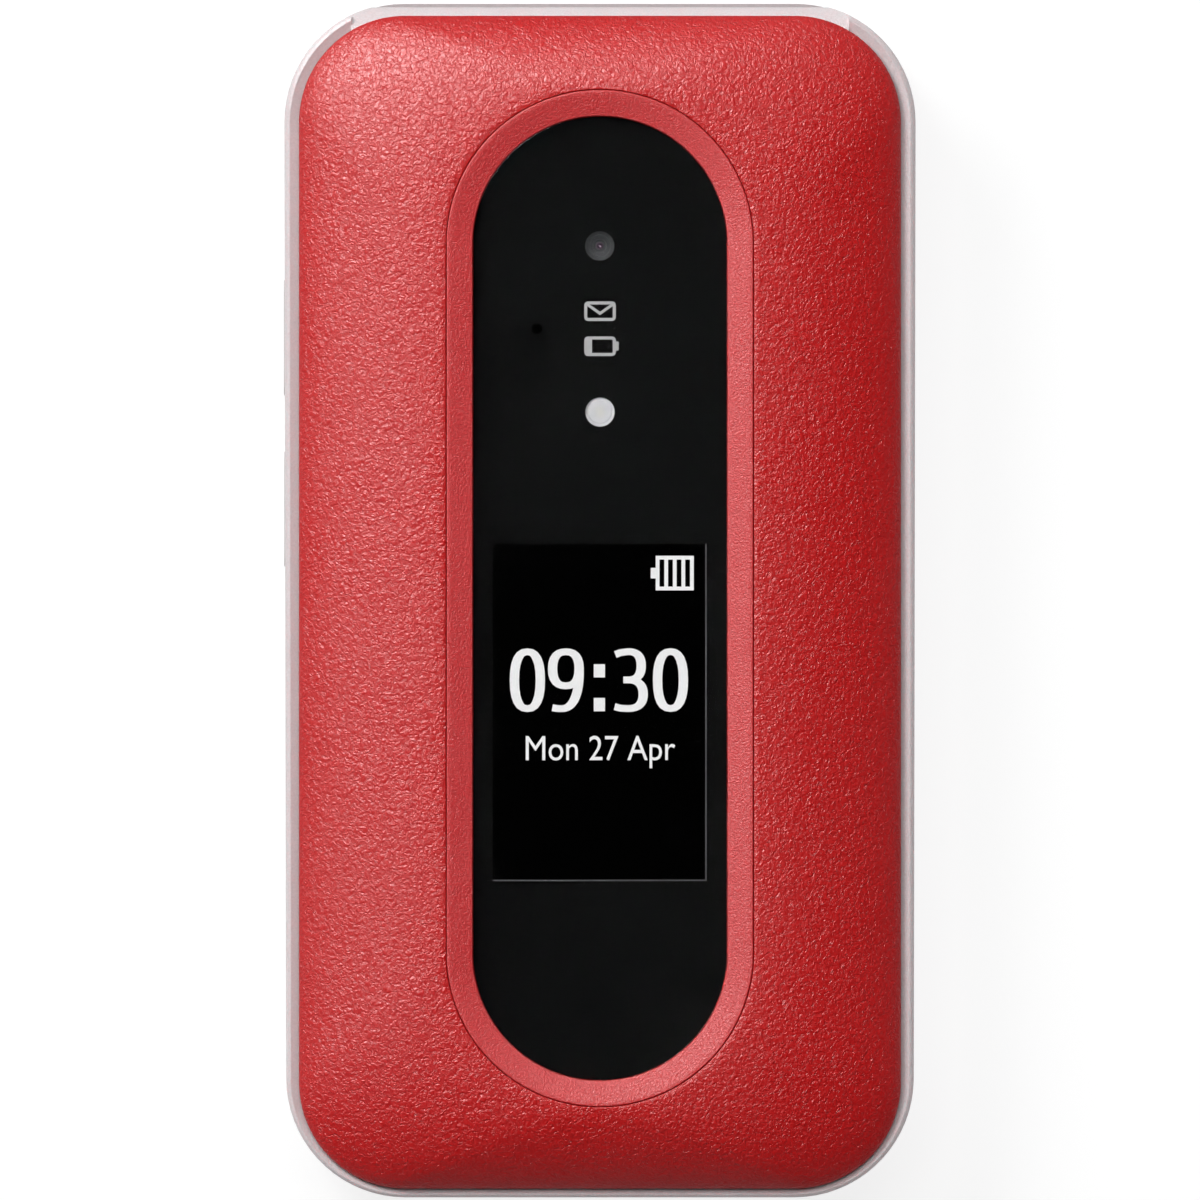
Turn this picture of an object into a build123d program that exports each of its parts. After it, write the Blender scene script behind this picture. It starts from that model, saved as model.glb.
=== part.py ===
from build123d import *
import math
import os

# A clamshell phone, closed and lying on its back. X runs across, Y towards the hinge
# and Z out through the lid. The origin is the middle of the back face. Millimetres.

# Casing outline, shared by the base and the lid
LENGTH = 108.0
WIDTH = 57.1  # across the hinge end
END_TAPER = 0.2  # how much each side draws in towards the free end
CORNER_R = 10.8
BACK_EDGE_R = 3.0
DECK_EDGE_R = 0.5
WALL = 1.3

# Clearances
FIT = 0.1  # still parts that slip together
GAP = 0.2  # parts that need room beside them
AIR = 0.3  # parts that swing past each other
RUN = 0.05  # a pin in its bore

# Thicknesses, stacked up from the back face
BACK_T = 1.2
DOOR_T = 1.1  # battery cover
LEDGE_T = 1.0  # ledge that the battery cover lies on
BATTERY_T = 4.4
ROOF_T = 0.7  # roof of the battery bay
BOARD_T = 0.8
DOME_T = 0.15
MAT_T = 0.3
FLANGE_T = 0.5  # rim under a key that holds it in the front case
DECK_T = 0.7
KEY_PROUD = 0.3
LID_GAP = 0.6
BEZEL_T = 0.9
FLOOR_T = 0.8  # plate across the lid frame
BAND_H = 2.5  # side band of the lid frame
SHOULDER_H = 0.6  # rounded outer edge of that band
SHOULDER_W = 0.5
SHOULDER_STATIONS = 4
GROOVE_D = 0.35  # how far the band falls again towards the foot of the cover
COVER_RISE = 5.3

# Hinge
OPEN_ANGLE = 155.0
HINGE_INSET = 3.6  # axis, from the hinge end
BARREL_R = 3.2
BARREL_LENGTH = 45.0
CARTRIDGE_R = 2.2
CARTRIDGE_LENGTH = 14.0
CARTRIDGE_WALL = 0.5
SHAFT_R = 0.95
CAM_R = 1.55
CAM_T = 1.5
SPRING_WIRE_R = 0.2
SPRING_R = 1.4
SPRING_LENGTH = 8.0
SPRING_TURNS = 7
BUSH_R = 1.2
BUSH_BORE_R = 0.7
BUSH_LENGTH = 5.5
KNUCKLE_DEPTH = 1.2  # how far a pin reaches into its knuckle
HOOD_T = 0.7  # corner of the lid over a knuckle
SWING_SLACK = 5.0  # degrees that the relief for the lid goes on past the open lid
RELIEF_TOP = 60.0  # degrees over the deck at which the relief ends, in the open
SIDE_RELIEF_START = -130.0
SWING_STEPS = 60

# Outer cover and the window in it
SIDE_BAND = 1.35  # casing left bare beside the cover
HINGE_BAND = 1.2
FREE_BAND = 0.8
COVER_CORNER_R = 9.6
COVER_T = 1.3
COVER_STATIONS = 10
COVER_FULLNESS = 1.5  # exponent of the superellipse that the cover's section follows
RING_W = 27.9
RING_HINGE_INSET = 7.85  # from the hinge end of the casing to the surround
RING_FREE_INSET = 8.15
RING_RIM = 2.35
RING_DROP = 0.55  # how far the surround slopes down to the glass
RING_LIP = 1.0  # seat under the glass
LIP_T = 0.5
LENS_T = 0.9
SEAT_W = 1.2  # boss round the window opening
SEAT_T = 0.6
OUTER_DISPLAY_SIDE = 1.5  # from the edge of the glass to the display beside it
OUTER_DISPLAY_HINGE_INSET = 46.65
OUTER_DISPLAY_FREE_INSET = 26.35
OUTER_DISPLAY_T = 1.5
CAMERA_INSET = 21.9  # from the hinge end of the casing, as are the flash and microphone
CAMERA_W = 7.0
CAMERA_BODY_T = 1.8
CAMERA_BARREL_R = 2.4
FLASH_INSET = 37.0
FLASH_R = 1.35
FLASH_BASE_W = 3.2
FLASH_BASE_T = 0.8
MIC_X = -5.7
MIC_INSET = 29.5
MIC_R = 0.5

# Inside of the lid
BEZEL_INSET = 1.0
BEZEL_HINGE_INSET = 8.0
POCKET_INSET = 1.9
POCKET_HINGE_INSET = 8.5
MAIN_WINDOW_SIDE = 3.05  # from the side of the casing to the main window
MAIN_WINDOW_HINGE_INSET = 21.5
MAIN_WINDOW_FREE_INSET = 17.5
MAIN_WINDOW_T = 0.85
MAIN_WINDOW_R = 2.5
MAIN_DISPLAY_SIDE = 2.2  # black border of the window beside the display
MAIN_DISPLAY_EDGE = 1.4  # and at its ends
MAIN_DISPLAY_T = 1.9
LID_BOARD_W = 37.0
LID_BOARD_HINGE_INSET = 12.0
LID_BOARD_FREE_INSET = 16.0
LID_BOARD_T = 0.7
EARPIECE_INSET = 9.8
EARPIECE_W = 12.0
EARPIECE_L = 6.0
EARPIECE_T = 2.4
SLOT_W = 10.0
SLOT_L = 2.0
MESH_T = 0.2
LID_SCREW_X = 21.5
LID_SCREW_HINGE_INSET = 13.0
LID_SCREW_FREE_INSET = 10.5
BUMPER_R = 1.6
BUMPER_PROUD = 0.4
SCREW_HEAD_R = 1.4
SCREW_HEAD_T = 0.6
SCREW_R = 0.7
BOSS_WALL = 1.0
BOSS_H = 3.4
FLEX_W = 8.0
FLEX_T = 0.15
FLEX_COIL_R = 1.7
FLEX_COIL_ANGLE = 300.0

# Keypad
KEY_W = 14.0
KEY_PITCH_X = 15.4
KEY_SPACE_Y = 2.2  # bare deck between two rows
TOP_ROW_INSET = 47.7  # from the hinge end to the middle of the top row of digits
LOW_ROW_INSET = 23.1  # from the free end to the middle of the low row
KEY_COLUMNS = 3
KEY_ROWS = 4
KEY_R = 3.0
KEY_EDGE_R = 0.25
KEY_TRAVEL = 0.35
KEY_FLANGE = 0.5  # how far the rim stands out under the deck
SIDE_KEY_W = 11.0
SIDE_KEY_L = 7.2
SIDE_KEY_PITCH = 8.3
SIDE_KEY_R = 2.4
ROCKER_INSET = 28.0
ROCKER_W = 20.0
ROCKER_L = 24.2
ROCKER_R = 8.5
ROCKER_ANGLE = 1.2
SELECT_R = 4.6
MAT_EDGE = 1.0

# Inside of the base
BATTERY_W = 38.0
BATTERY_HINGE_INSET = 41.0
BATTERY_FREE_INSET = 17.0
BATTERY_R = 1.5
BAY_HINGE_INSET = 29.5
BAY_WALL = 0.9
DOOR_W = 47.0
DOOR_HINGE_INSET = 26.5
DOOR_FREE_INSET = 14.0
DOOR_R = 5.0
PEG_R = 0.8
PEG_H = 0.8
PEG_X = 21.7
PEG_HINGE_INSET = 34.0
PEG_FREE_INSET = 23.0
PRY_R = 3.2
PRY_DEPTH = 0.6
BOARD_EDGE = 1.0  # board edge to the wall
BASE_SCREW_X = 20.0
BASE_SCREW_HINGE_INSET = 13.1
BASE_SCREW_FREE_INSET = 7.5
CONNECTOR_W = 10.0
CONNECTOR_L = 2.4
CONNECTOR_T = 4.4
SIM_W = 17.0
SIM_L = 7.2
SIM_T = 1.4
SIM_WALL = 0.5
SPEAKER_X = 14.0
SPEAKER_INSET = 20.2
SPEAKER_W = 11.0
SPEAKER_L = 9.0
SPEAKER_T = 3.0
SPEAKER_MESH_EDGE = 0.25
GRILLE_SLOTS = 5
GRILLE_PITCH = 1.6
GRILLE_W = 8.0
GRILLE_L = 0.8
MOTOR_X = -15.0
MOTOR_INSET = 20.5
MOTOR_R = 4.0
MOTOR_T = 2.7
CAN_H = 1.9
CAN_W = 12.0
CAN_L = 9.0
CAN_R = 0.6
TOP_CAN_X = 13.5
TOP_CAN_INSET = 20.6
LOW_CAN_X = -11.8
LOW_CAN_INSET = 9.1
ASSIST_INSET = 19.5
ASSIST_W = 12.0
ASSIST_L = 8.0
ASSIST_FLANGE = 0.75
ASSIST_SUNK = 0.3
ASSIST_TRAVEL = 0.4
ASSIST_STEM_R = 1.5
SWITCH_W = 4.0
SWITCH_T = 1.2
USB_W = 8.94
USB_L = 7.3
USB_H = 3.2
USB_SHELL = 0.3
USB_TONGUE_T = 0.7
USB_SUNK = 0.3
JACK_X = 12.0
JACK_W = 6.2
JACK_L = 13.5
JACK_H = 4.4
JACK_NOSE_R = 2.3
JACK_BORE_R = 1.8

# Volume keys in the left side
VOLUME_UP_INSET = 30.25
VOLUME_DOWN_INSET = 45.75
VOLUME_L = 10.5
VOLUME_H = 2.4
VOLUME_Z = 5.0
VOLUME_R = 1.1
VOLUME_PROUD = 0.13
VOLUME_TRAVEL = 0.3
VOLUME_FLANGE = 0.4

# Heights worked out from the stack
battery_z = BACK_T + GAP
roof_z = battery_z + BATTERY_T + GAP
board_z = roof_z + ROOF_T + GAP
board_top = board_z + BOARD_T
mat_z = board_top + DOME_T
mat_top = mat_z + MAT_T
flange_z = mat_top + KEY_TRAVEL + FIT
deck_z = flange_z + FLANGE_T + FIT
base_top = deck_z + DECK_T
lid_z = base_top + LID_GAP
rim_z = lid_z + BAND_H
foot_z = rim_z - GROOVE_D
crown_z = rim_z + COVER_RISE
floor_z = lid_z + BEZEL_T + FIT
floor_top = floor_z + FLOOR_T
lid_board_z = floor_z + FIT + MAIN_DISPLAY_T + GAP
lid_board_top = lid_board_z + LID_BOARD_T
seat_z = crown_z - RING_DROP - FIT - LENS_T - FIT - LIP_T
lens_z = seat_z + LIP_T + FIT
window_parts_z = lens_z - FIT  # top of what lies under the glass

# Sizes and places along the casing, worked out from how far they lie in from its ends
HINGE_END = LENGTH / 2
FREE_END = -LENGTH / 2
CAMERA_Y = HINGE_END - CAMERA_INSET
FLASH_Y = HINGE_END - FLASH_INSET
MIC_Y = HINGE_END - MIC_INSET
BEZEL_END = HINGE_END - BEZEL_HINGE_INSET
POCKET_END = HINGE_END - POCKET_HINGE_INSET
LID_BOARD_LOW = FREE_END + LID_BOARD_FREE_INSET
LID_BOARD_HIGH = HINGE_END - LID_BOARD_HINGE_INSET
EARPIECE_Y = FREE_END + EARPIECE_INSET
LID_SCREW_LOW = FREE_END + LID_SCREW_FREE_INSET
LID_SCREW_HIGH = HINGE_END - LID_SCREW_HINGE_INSET
ROCKER_Y = HINGE_END - ROCKER_INSET
KEY_TOP_ROW = HINGE_END - TOP_ROW_INSET
KEY_PITCH_Y = (LENGTH - TOP_ROW_INSET - LOW_ROW_INSET) / (KEY_ROWS - 1)
KEY_L = KEY_PITCH_Y - KEY_SPACE_Y
BATTERY_LOW = FREE_END + BATTERY_FREE_INSET
BATTERY_L = LENGTH - BATTERY_FREE_INSET - BATTERY_HINGE_INSET
BAY_HIGH = HINGE_END - BAY_HINGE_INSET
DOOR_LOW = FREE_END + DOOR_FREE_INSET
DOOR_HIGH = HINGE_END - DOOR_HINGE_INSET
PEG_LOW = FREE_END + PEG_FREE_INSET
PEG_HIGH = HINGE_END - PEG_HINGE_INSET
BASE_SCREW_LOW = FREE_END + BASE_SCREW_FREE_INSET
BASE_SCREW_HIGH = HINGE_END - BASE_SCREW_HINGE_INSET
SPEAKER_Y = HINGE_END - SPEAKER_INSET
MOTOR_Y = HINGE_END - MOTOR_INSET
TOP_CAN_Y = HINGE_END - TOP_CAN_INSET
LOW_CAN_Y = FREE_END + LOW_CAN_INSET
ASSIST_Y = HINGE_END - ASSIST_INSET
VOLUME_UP_Y = HINGE_END - VOLUME_UP_INSET
VOLUME_DOWN_Y = HINGE_END - VOLUME_DOWN_INSET

# The windows and what shows through them
RING_L = LENGTH - RING_HINGE_INSET - RING_FREE_INSET
RING_Y = (RING_FREE_INSET - RING_HINGE_INSET) / 2
OUTER_DISPLAY_W = RING_W - 2 * (RING_RIM + OUTER_DISPLAY_SIDE)
OUTER_DISPLAY_L = LENGTH - OUTER_DISPLAY_HINGE_INSET - OUTER_DISPLAY_FREE_INSET
OUTER_DISPLAY_Y = (OUTER_DISPLAY_FREE_INSET - OUTER_DISPLAY_HINGE_INSET) / 2
MAIN_WINDOW_W = WIDTH - 2 * MAIN_WINDOW_SIDE
MAIN_WINDOW_L = LENGTH - MAIN_WINDOW_HINGE_INSET - MAIN_WINDOW_FREE_INSET
MAIN_DISPLAY_W = MAIN_WINDOW_W - 2 * MAIN_DISPLAY_SIDE
MAIN_DISPLAY_L = MAIN_WINDOW_L - 2 * MAIN_DISPLAY_EDGE
MAIN_DISPLAY_Y = (MAIN_WINDOW_FREE_INSET - MAIN_WINDOW_HINGE_INSET) / 2

# Places worked out from the outline
hinge_y = HINGE_END - HINGE_INSET
hinge_z = base_top + FIT
barrel_x = BARREL_LENGTH / 2
knuckle_x = barrel_x + AIR
knuckle_r = rim_z - hinge_z - HOOD_T - AIR
pin_x = knuckle_x + KNUCKLE_DEPTH
cover_x = WIDTH / 2 - SIDE_BAND
cover_high = HINGE_END - HINGE_BAND
cover_low = FREE_END + FREE_BAND
ring_high = RING_Y + RING_L / 2
ring_low = RING_Y - RING_L / 2
battery_y = BATTERY_LOW + BATTERY_L / 2
bay_x = BATTERY_W / 2 + GAP
bay_low = BATTERY_LOW - GAP
usb_z = board_z - USB_H / 2
jack_z = board_z - JACK_H / 2
jack_front = WALL + FIT - LENGTH / 2
rocker_flange_l = ROCKER_L + 2 * KEY_FLANGE
rocker_swing = rocker_flange_l / 2 * math.sin(math.radians(ROCKER_ANGLE)) + RUN


def side_x(y):
    """Half-width of the casing at y."""
    return WIDTH / 2 - END_TAPER * (LENGTH / 2 - y) / LENGTH


def cover_height(share):
    """Height of the cover over its rim, share of the way in from rim to window."""
    fall = (1 - share) ** COVER_FULLNESS
    return (1 - fall) ** (1 / COVER_FULLNESS)


def swing_reach():
    """Radius that the lid's hinge end sweeps through inside the length of the base."""
    reach = BARREL_R
    for step in range(SWING_STEPS + 1):
        share = step / SWING_STEPS
        y = cover_high + share * (ring_high - cover_high) - hinge_y
        z = rim_z + COVER_RISE * cover_height(share) - hinge_z
        radius = math.hypot(y, z)
        opened = math.atan2(z, y) - math.radians(OPEN_ANGLE)
        if radius * math.cos(opened) < HINGE_INSET:
            reach = max(reach, radius)
    return reach


relief_r = swing_reach() + AIR
foot_angle = math.degrees(math.atan2(foot_z - hinge_z, cover_high - hinge_y))
relief_start = foot_angle - OPEN_ANGLE - SWING_SLACK
cavity_end = hinge_y - relief_r - WALL


def casing(z, inset=0.0, stop=None):
    """Casing outline at height z, drawn in by inset and cut off at y = stop."""
    hinge_half = WIDTH / 2 - inset
    free_half = hinge_half - END_TAPER
    half = LENGTH / 2 - inset
    with BuildSketch(Plane.XY.offset(z)) as profile:
        with BuildLine():
            ends = [(-free_half, -half), (free_half, -half), (hinge_half, half), (-hinge_half, half)]
            Polyline(*ends, close=True)
        make_face()
        fillet(profile.vertices(), CORNER_R - inset)
        if stop is not None:
            with Locations((0, stop)):
                Rectangle(2 * WIDTH, LENGTH, align=(Align.CENTER, Align.MIN), mode=Mode.SUBTRACT)
    return profile.sketch


def panel(z, x, y, width, length, radius):
    """Rounded rectangle at height z, centred on x, y."""
    with BuildSketch(Plane.XY.offset(z)) as profile:
        with Locations((x, y)):
            RectangleRounded(width, length, radius)
    return profile.sketch


def plate(z, x, y, width, length):
    """Sharp-cornered rectangle at height z, centred on x, y."""
    with BuildSketch(Plane.XY.offset(z)) as profile:
        with Locations((x, y)):
            Rectangle(width, length)
    return profile.sketch


def discs(z, radius, places):
    """Circles of one radius at height z."""
    with BuildSketch(Plane.XY.offset(z)) as profile:
        with Locations(*places):
            Circle(radius)
    return profile.sketch


def pill(z, inset=0.0):
    """Outline of the window surround at height z, drawn in by inset."""
    with BuildSketch(Plane.XY.offset(z)) as profile:
        with Locations((0, RING_Y)):
            SlotOverall(RING_L - 2 * inset, RING_W - 2 * inset, rotation=90)
    return profile.sketch


def shoulder(z, share):
    """Section between the casing outline (share 0) and the rim of the cover (share 1)."""
    half = WIDTH / 2 - share * SIDE_BAND
    high = HINGE_END - share * HINGE_BAND
    low = FREE_END + share * FREE_BAND
    free_half = half - END_TAPER * (1 - share)
    with BuildSketch(Plane.XY.offset(z)) as profile:
        with BuildLine():
            Polyline((-free_half, low), (free_half, low), (half, high), (-half, high), close=True)
        make_face()
        fillet(profile.vertices(), CORNER_R + share * (COVER_CORNER_R - CORNER_R))
    return profile.sketch


def cover_section(share, thinner=0.0):
    """Section through the cover, share of the way in, for a skin thinner than the cover."""
    inset = thinner * (1 - share)
    half = cover_x + share * (RING_W / 2 - cover_x) - inset
    high = cover_high + share * (ring_high - cover_high) - inset
    low = cover_low + share * (ring_low - cover_low) + inset
    corner = COVER_CORNER_R + share * (RING_W / 2 - COVER_CORNER_R) - inset
    height = rim_z + (COVER_RISE - thinner) * cover_height(share)
    return panel(height, 0, (high + low) / 2, 2 * half, high - low, min(corner, half - RUN))


def cover_loft(thinner=0.0, mode=Mode.ADD):
    """Pillow from the rim of the cover up to the window opening."""
    shares = [1 - math.cos(math.pi / 2 * n / COVER_STATIONS) for n in range(COVER_STATIONS + 1)]
    loft([cover_section(share, thinner) for share in shares], mode=mode)


def hinge_slice(x, radius, start, end, kept=0.0):
    """Pie slice about the hinge axis on the plane at x, less a kept disc in its middle."""
    with BuildSketch(Plane.YZ.offset(x)) as profile:
        with BuildLine():
            arc = CenterArc((hinge_y, hinge_z), radius, start, end - start)
            Line((hinge_y, hinge_z), arc @ 0)
            Line(arc @ 1, (hinge_y, hinge_z))
        make_face()
        if kept:
            with Locations((hinge_y, hinge_z)):
                Circle(kept, mode=Mode.SUBTRACT)
    return profile.sketch


def hinge_disc(x, radius, bore=0.0):
    """Disc or ring about the hinge axis on the plane at x."""
    with BuildSketch(Plane.YZ.offset(x)) as profile:
        with Locations((hinge_y, hinge_z)):
            Circle(radius)
            if bore:
                Circle(bore, mode=Mode.SUBTRACT)
    return profile.sketch


def clear_lid_swing():
    """Cut the base back to where the lid's hinge end swings."""
    swept = hinge_slice(-knuckle_x, relief_r, relief_start, RELIEF_TOP)
    extrude(swept, amount=2 * knuckle_x, mode=Mode.SUBTRACT)
    extrude(hinge_disc(-knuckle_x, BARREL_R + AIR), amount=2 * knuckle_x, mode=Mode.SUBTRACT)
    for side in (-1, 1):
        start = side * (barrel_x - AIR)
        beside = hinge_slice(start, relief_r, SIDE_RELIEF_START, RELIEF_TOP, knuckle_r)
        extrude(beside, amount=side * WIDTH / 2, mode=Mode.SUBTRACT)


def finish(block, name):
    """Label a finished piece and write it out."""
    block.part.label = name
    export_step(block.part, f"parts/{name}.step")


os.makedirs("parts", exist_ok=True)
base_screws_at = [
    (side * BASE_SCREW_X, y) for side in (-1, 1) for y in (BASE_SCREW_LOW, BASE_SCREW_HIGH)
]
lid_screws_at = [
    (side * LID_SCREW_X, y) for side in (-1, 1) for y in (LID_SCREW_LOW, LID_SCREW_HIGH)
]
pegs_at = [(side * PEG_X, y) for side in (-1, 1) for y in (PEG_LOW, PEG_HIGH)]
door_y = (DOOR_LOW + DOOR_HIGH) / 2
door_l = DOOR_HIGH - DOOR_LOW
bay_l = BAY_HIGH - bay_low
bay_y = (BAY_HIGH + bay_low) / 2
connector_y = BATTERY_LOW + BATTERY_L + GAP + CONNECTOR_L / 2
sim_y = BAY_HIGH - GAP - SIM_L / 2
base_boss_r = SCREW_R + BOSS_WALL

# Base -------------------------------------------------------------------------

# Rear case: tub with the battery bay, open to the back, and the low end lip that the
# lid swings over
with BuildPart() as rear_case:
    extrude(casing(0), amount=board_top)
    fillet(rear_case.edges().group_by(Axis.Z)[0], BACK_EDGE_R)
    step_h = BACK_T + WALL
    extrude(casing(BACK_T, 2 * WALL, cavity_end), amount=board_top, mode=Mode.SUBTRACT)
    extrude(casing(step_h, WALL, cavity_end), amount=board_top, mode=Mode.SUBTRACT)
    clear_lid_swing()
    for side in (-1, 1):
        knuckle_seat = hinge_disc(side * knuckle_x, knuckle_r + FIT)
        extrude(knuckle_seat, amount=side * WIDTH / 2, mode=Mode.SUBTRACT)
    ledge_w = DOOR_W + 2 * WALL
    extrude(panel(BACK_T, 0, door_y, ledge_w, door_l + 2 * WALL, DOOR_R + WALL), amount=LEDGE_T)
    bay = (2 * (bay_x + BAY_WALL), bay_l + 2 * BAY_WALL)
    extrude(plate(BACK_T, 0, bay_y, *bay), amount=roof_z + ROOF_T - BACK_T)
    extrude(panel(0, 0, door_y, DOOR_W, door_l, DOOR_R), amount=BACK_T, mode=Mode.SUBTRACT)
    extrude(plate(0, 0, bay_y, 2 * bay_x, bay_l), amount=roof_z, mode=Mode.SUBTRACT)
    connector_hole = (CONNECTOR_W + 2 * GAP, CONNECTOR_L + 2 * FIT)
    through_roof = plate(roof_z - FIT, 0, connector_y, *connector_hole)
    extrude(through_roof, amount=ROOF_T + GAP, mode=Mode.SUBTRACT)
    extrude(discs(BACK_T, PEG_R + GAP, pegs_at), amount=LEDGE_T, mode=Mode.SUBTRACT)
    extrude(discs(-PRY_R + PRY_DEPTH, PRY_R, [(0, DOOR_LOW)]), amount=PRY_R, mode=Mode.SUBTRACT)
    # screw bosses that the board lies on, with the heads let into the back
    extrude(discs(BACK_T / 2, base_boss_r, base_screws_at), amount=board_z - BACK_T / 2)
    extrude(discs(0, SCREW_R + FIT, base_screws_at), amount=board_top, mode=Mode.SUBTRACT)
    head_pocket = discs(0, SCREW_HEAD_R + FIT, base_screws_at)
    extrude(head_pocket, amount=GAP + SCREW_HEAD_T, mode=Mode.SUBTRACT)
    # loudspeaker grille and the opening for the assistance key
    with BuildSketch(Plane.XY):
        with Locations((SPEAKER_X, SPEAKER_Y)):
            with GridLocations(0, GRILLE_PITCH, 1, GRILLE_SLOTS):
                SlotOverall(GRILLE_W, GRILLE_L)
        with Locations((0, ASSIST_Y)):
            SlotOverall(ASSIST_W + 2 * GAP, ASSIST_L + 2 * GAP)
    extrude(amount=BACK_T, mode=Mode.SUBTRACT)
    # sockets in the free end
    with BuildSketch(Plane.XZ.offset(LENGTH / 2 - 2 * WALL)):
        with Locations((0, usb_z)):
            RectangleRounded(USB_W + 2 * FIT, USB_H + 2 * FIT, USB_H / 2)
        with Locations((JACK_X, jack_z)):
            Circle(JACK_NOSE_R + FIT)
    extrude(amount=3 * WALL, mode=Mode.SUBTRACT)
    # slots for the volume keys
    with BuildSketch(Plane.YZ.offset(-WIDTH / 2 - FIT)):
        with Locations((VOLUME_UP_Y, VOLUME_Z), (VOLUME_DOWN_Y, VOLUME_Z)):
            RectangleRounded(VOLUME_L + 2 * FIT, VOLUME_H + 2 * FIT, VOLUME_R + FIT)
    extrude(amount=2 * WALL, mode=Mode.SUBTRACT)
finish(rear_case, "rear_case")

# Knuckles at the hinge corners, which follow the casing outline
with BuildPart() as knuckles:
    for side in (-1, 1):
        extrude(hinge_disc(side * knuckle_x, knuckle_r), amount=side * WIDTH / 2)
    extrude(casing(0), amount=crown_z, mode=Mode.INTERSECT)

digit_names = ["1", "2", "3", "4", "5", "6", "7", "8", "9", "star", "0", "hash"]
digits = []
for index, digit in enumerate(digit_names):
    row, column = divmod(index, KEY_COLUMNS)
    x = (column - (KEY_COLUMNS - 1) / 2) * KEY_PITCH_X
    digits.append(("key_" + digit, x, KEY_TOP_ROW - row * KEY_PITCH_Y))
side_key_x = KEY_PITCH_X + (KEY_W - SIDE_KEY_W) / 2
side_rows = [("soft_left", "soft_right"), ("camera", "messages"), ("call", "end")]
side_keys = []
for row, pair in enumerate(side_rows):
    for side, name in zip((-1, 1), pair):
        side_keys.append(("key_" + name, side * side_key_x, ROCKER_Y + (1 - row) * SIDE_KEY_PITCH))

# Front case: deck with the key openings, and the hinge knuckles
with BuildPart() as front_case:
    extrude(casing(board_top), amount=base_top - board_top)
    fillet(front_case.edges().group_by(Axis.Z)[-1], DECK_EDGE_R)
    extrude(casing(board_top, WALL, cavity_end), amount=deck_z - board_top, mode=Mode.SUBTRACT)
    add(knuckles.part)
    clear_lid_swing()
    extrude(discs(board_top, base_boss_r, base_screws_at), amount=deck_z - board_top)
    screw_holes = discs(board_top, SCREW_R + FIT, base_screws_at)
    extrude(screw_holes, amount=deck_z - board_top, mode=Mode.SUBTRACT)
    with BuildSketch(Plane.XY.offset(deck_z)):
        for name, x, y in digits:
            with Locations((x, y)):
                RectangleRounded(KEY_W + 2 * GAP, KEY_L + 2 * GAP, KEY_R + GAP)
        for name, x, y in side_keys:
            with Locations((x, y)):
                RectangleRounded(SIDE_KEY_W + 2 * GAP, SIDE_KEY_L + 2 * GAP, SIDE_KEY_R + GAP)
        with Locations((0, ROCKER_Y)):
            RectangleRounded(ROCKER_W + 2 * AIR, ROCKER_L + 2 * AIR, ROCKER_R + AIR)
        with Locations((-KEY_PITCH_X / 2, BASE_SCREW_LOW)):
            Circle(MIC_R)
    extrude(amount=DECK_T, mode=Mode.SUBTRACT)
    # blind bores in the knuckles: hinge shaft on the right, pivot bush on the left
    extrude(hinge_disc(knuckle_x, SHAFT_R + RUN), amount=KNUCKLE_DEPTH + RUN, mode=Mode.SUBTRACT)
    extrude(hinge_disc(-knuckle_x, BUSH_R + RUN), amount=-KNUCKLE_DEPTH - RUN, mode=Mode.SUBTRACT)
finish(front_case, "front_case")

board_outline = (WALL + BOARD_EDGE, cavity_end - BOARD_EDGE / 2)
with BuildPart() as main_board:
    extrude(casing(board_z, *board_outline), amount=BOARD_T)
    extrude(discs(board_z, SCREW_R + FIT, base_screws_at), amount=BOARD_T, mode=Mode.SUBTRACT)
finish(main_board, "main_board")

# Dome sheet and keypad mat lie over the board, inside the screw bosses
key_area_low = digits[-1][2] - KEY_L / 2 - KEY_FLANGE
key_area_high = ROCKER_Y + rocker_flange_l / 2
key_area = (
    0,
    (key_area_low + key_area_high) / 2,
    2 * (KEY_PITCH_X + KEY_W / 2 + KEY_FLANGE + MAT_EDGE / 2),
    key_area_high - key_area_low,
    KEY_R,
)
with BuildPart() as dome_sheet:
    extrude(panel(board_top, *key_area), amount=DOME_T)
finish(dome_sheet, "dome_sheet")
with BuildPart() as keypad_mat:
    extrude(panel(mat_z, *key_area), amount=MAT_T)
finish(keypad_mat, "keypad_mat")

keys = [(*key, KEY_W, KEY_L, KEY_R) for key in digits]
keys += [(*key, SIDE_KEY_W, SIDE_KEY_L, SIDE_KEY_R) for key in side_keys]
cap_h = base_top + KEY_PROUD - flange_z
for name, x, y, width, length, radius in keys:
    with BuildPart() as key:
        extrude(panel(flange_z, x, y, width, length, radius), amount=cap_h)
        fillet(key.edges().group_by(Axis.Z)[-1], KEY_EDGE_R)
        flange = (width + 2 * KEY_FLANGE, length + 2 * KEY_FLANGE, radius + KEY_FLANGE)
        extrude(panel(flange_z, x, y, *flange), amount=FLANGE_T)
    finish(key, name)

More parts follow.
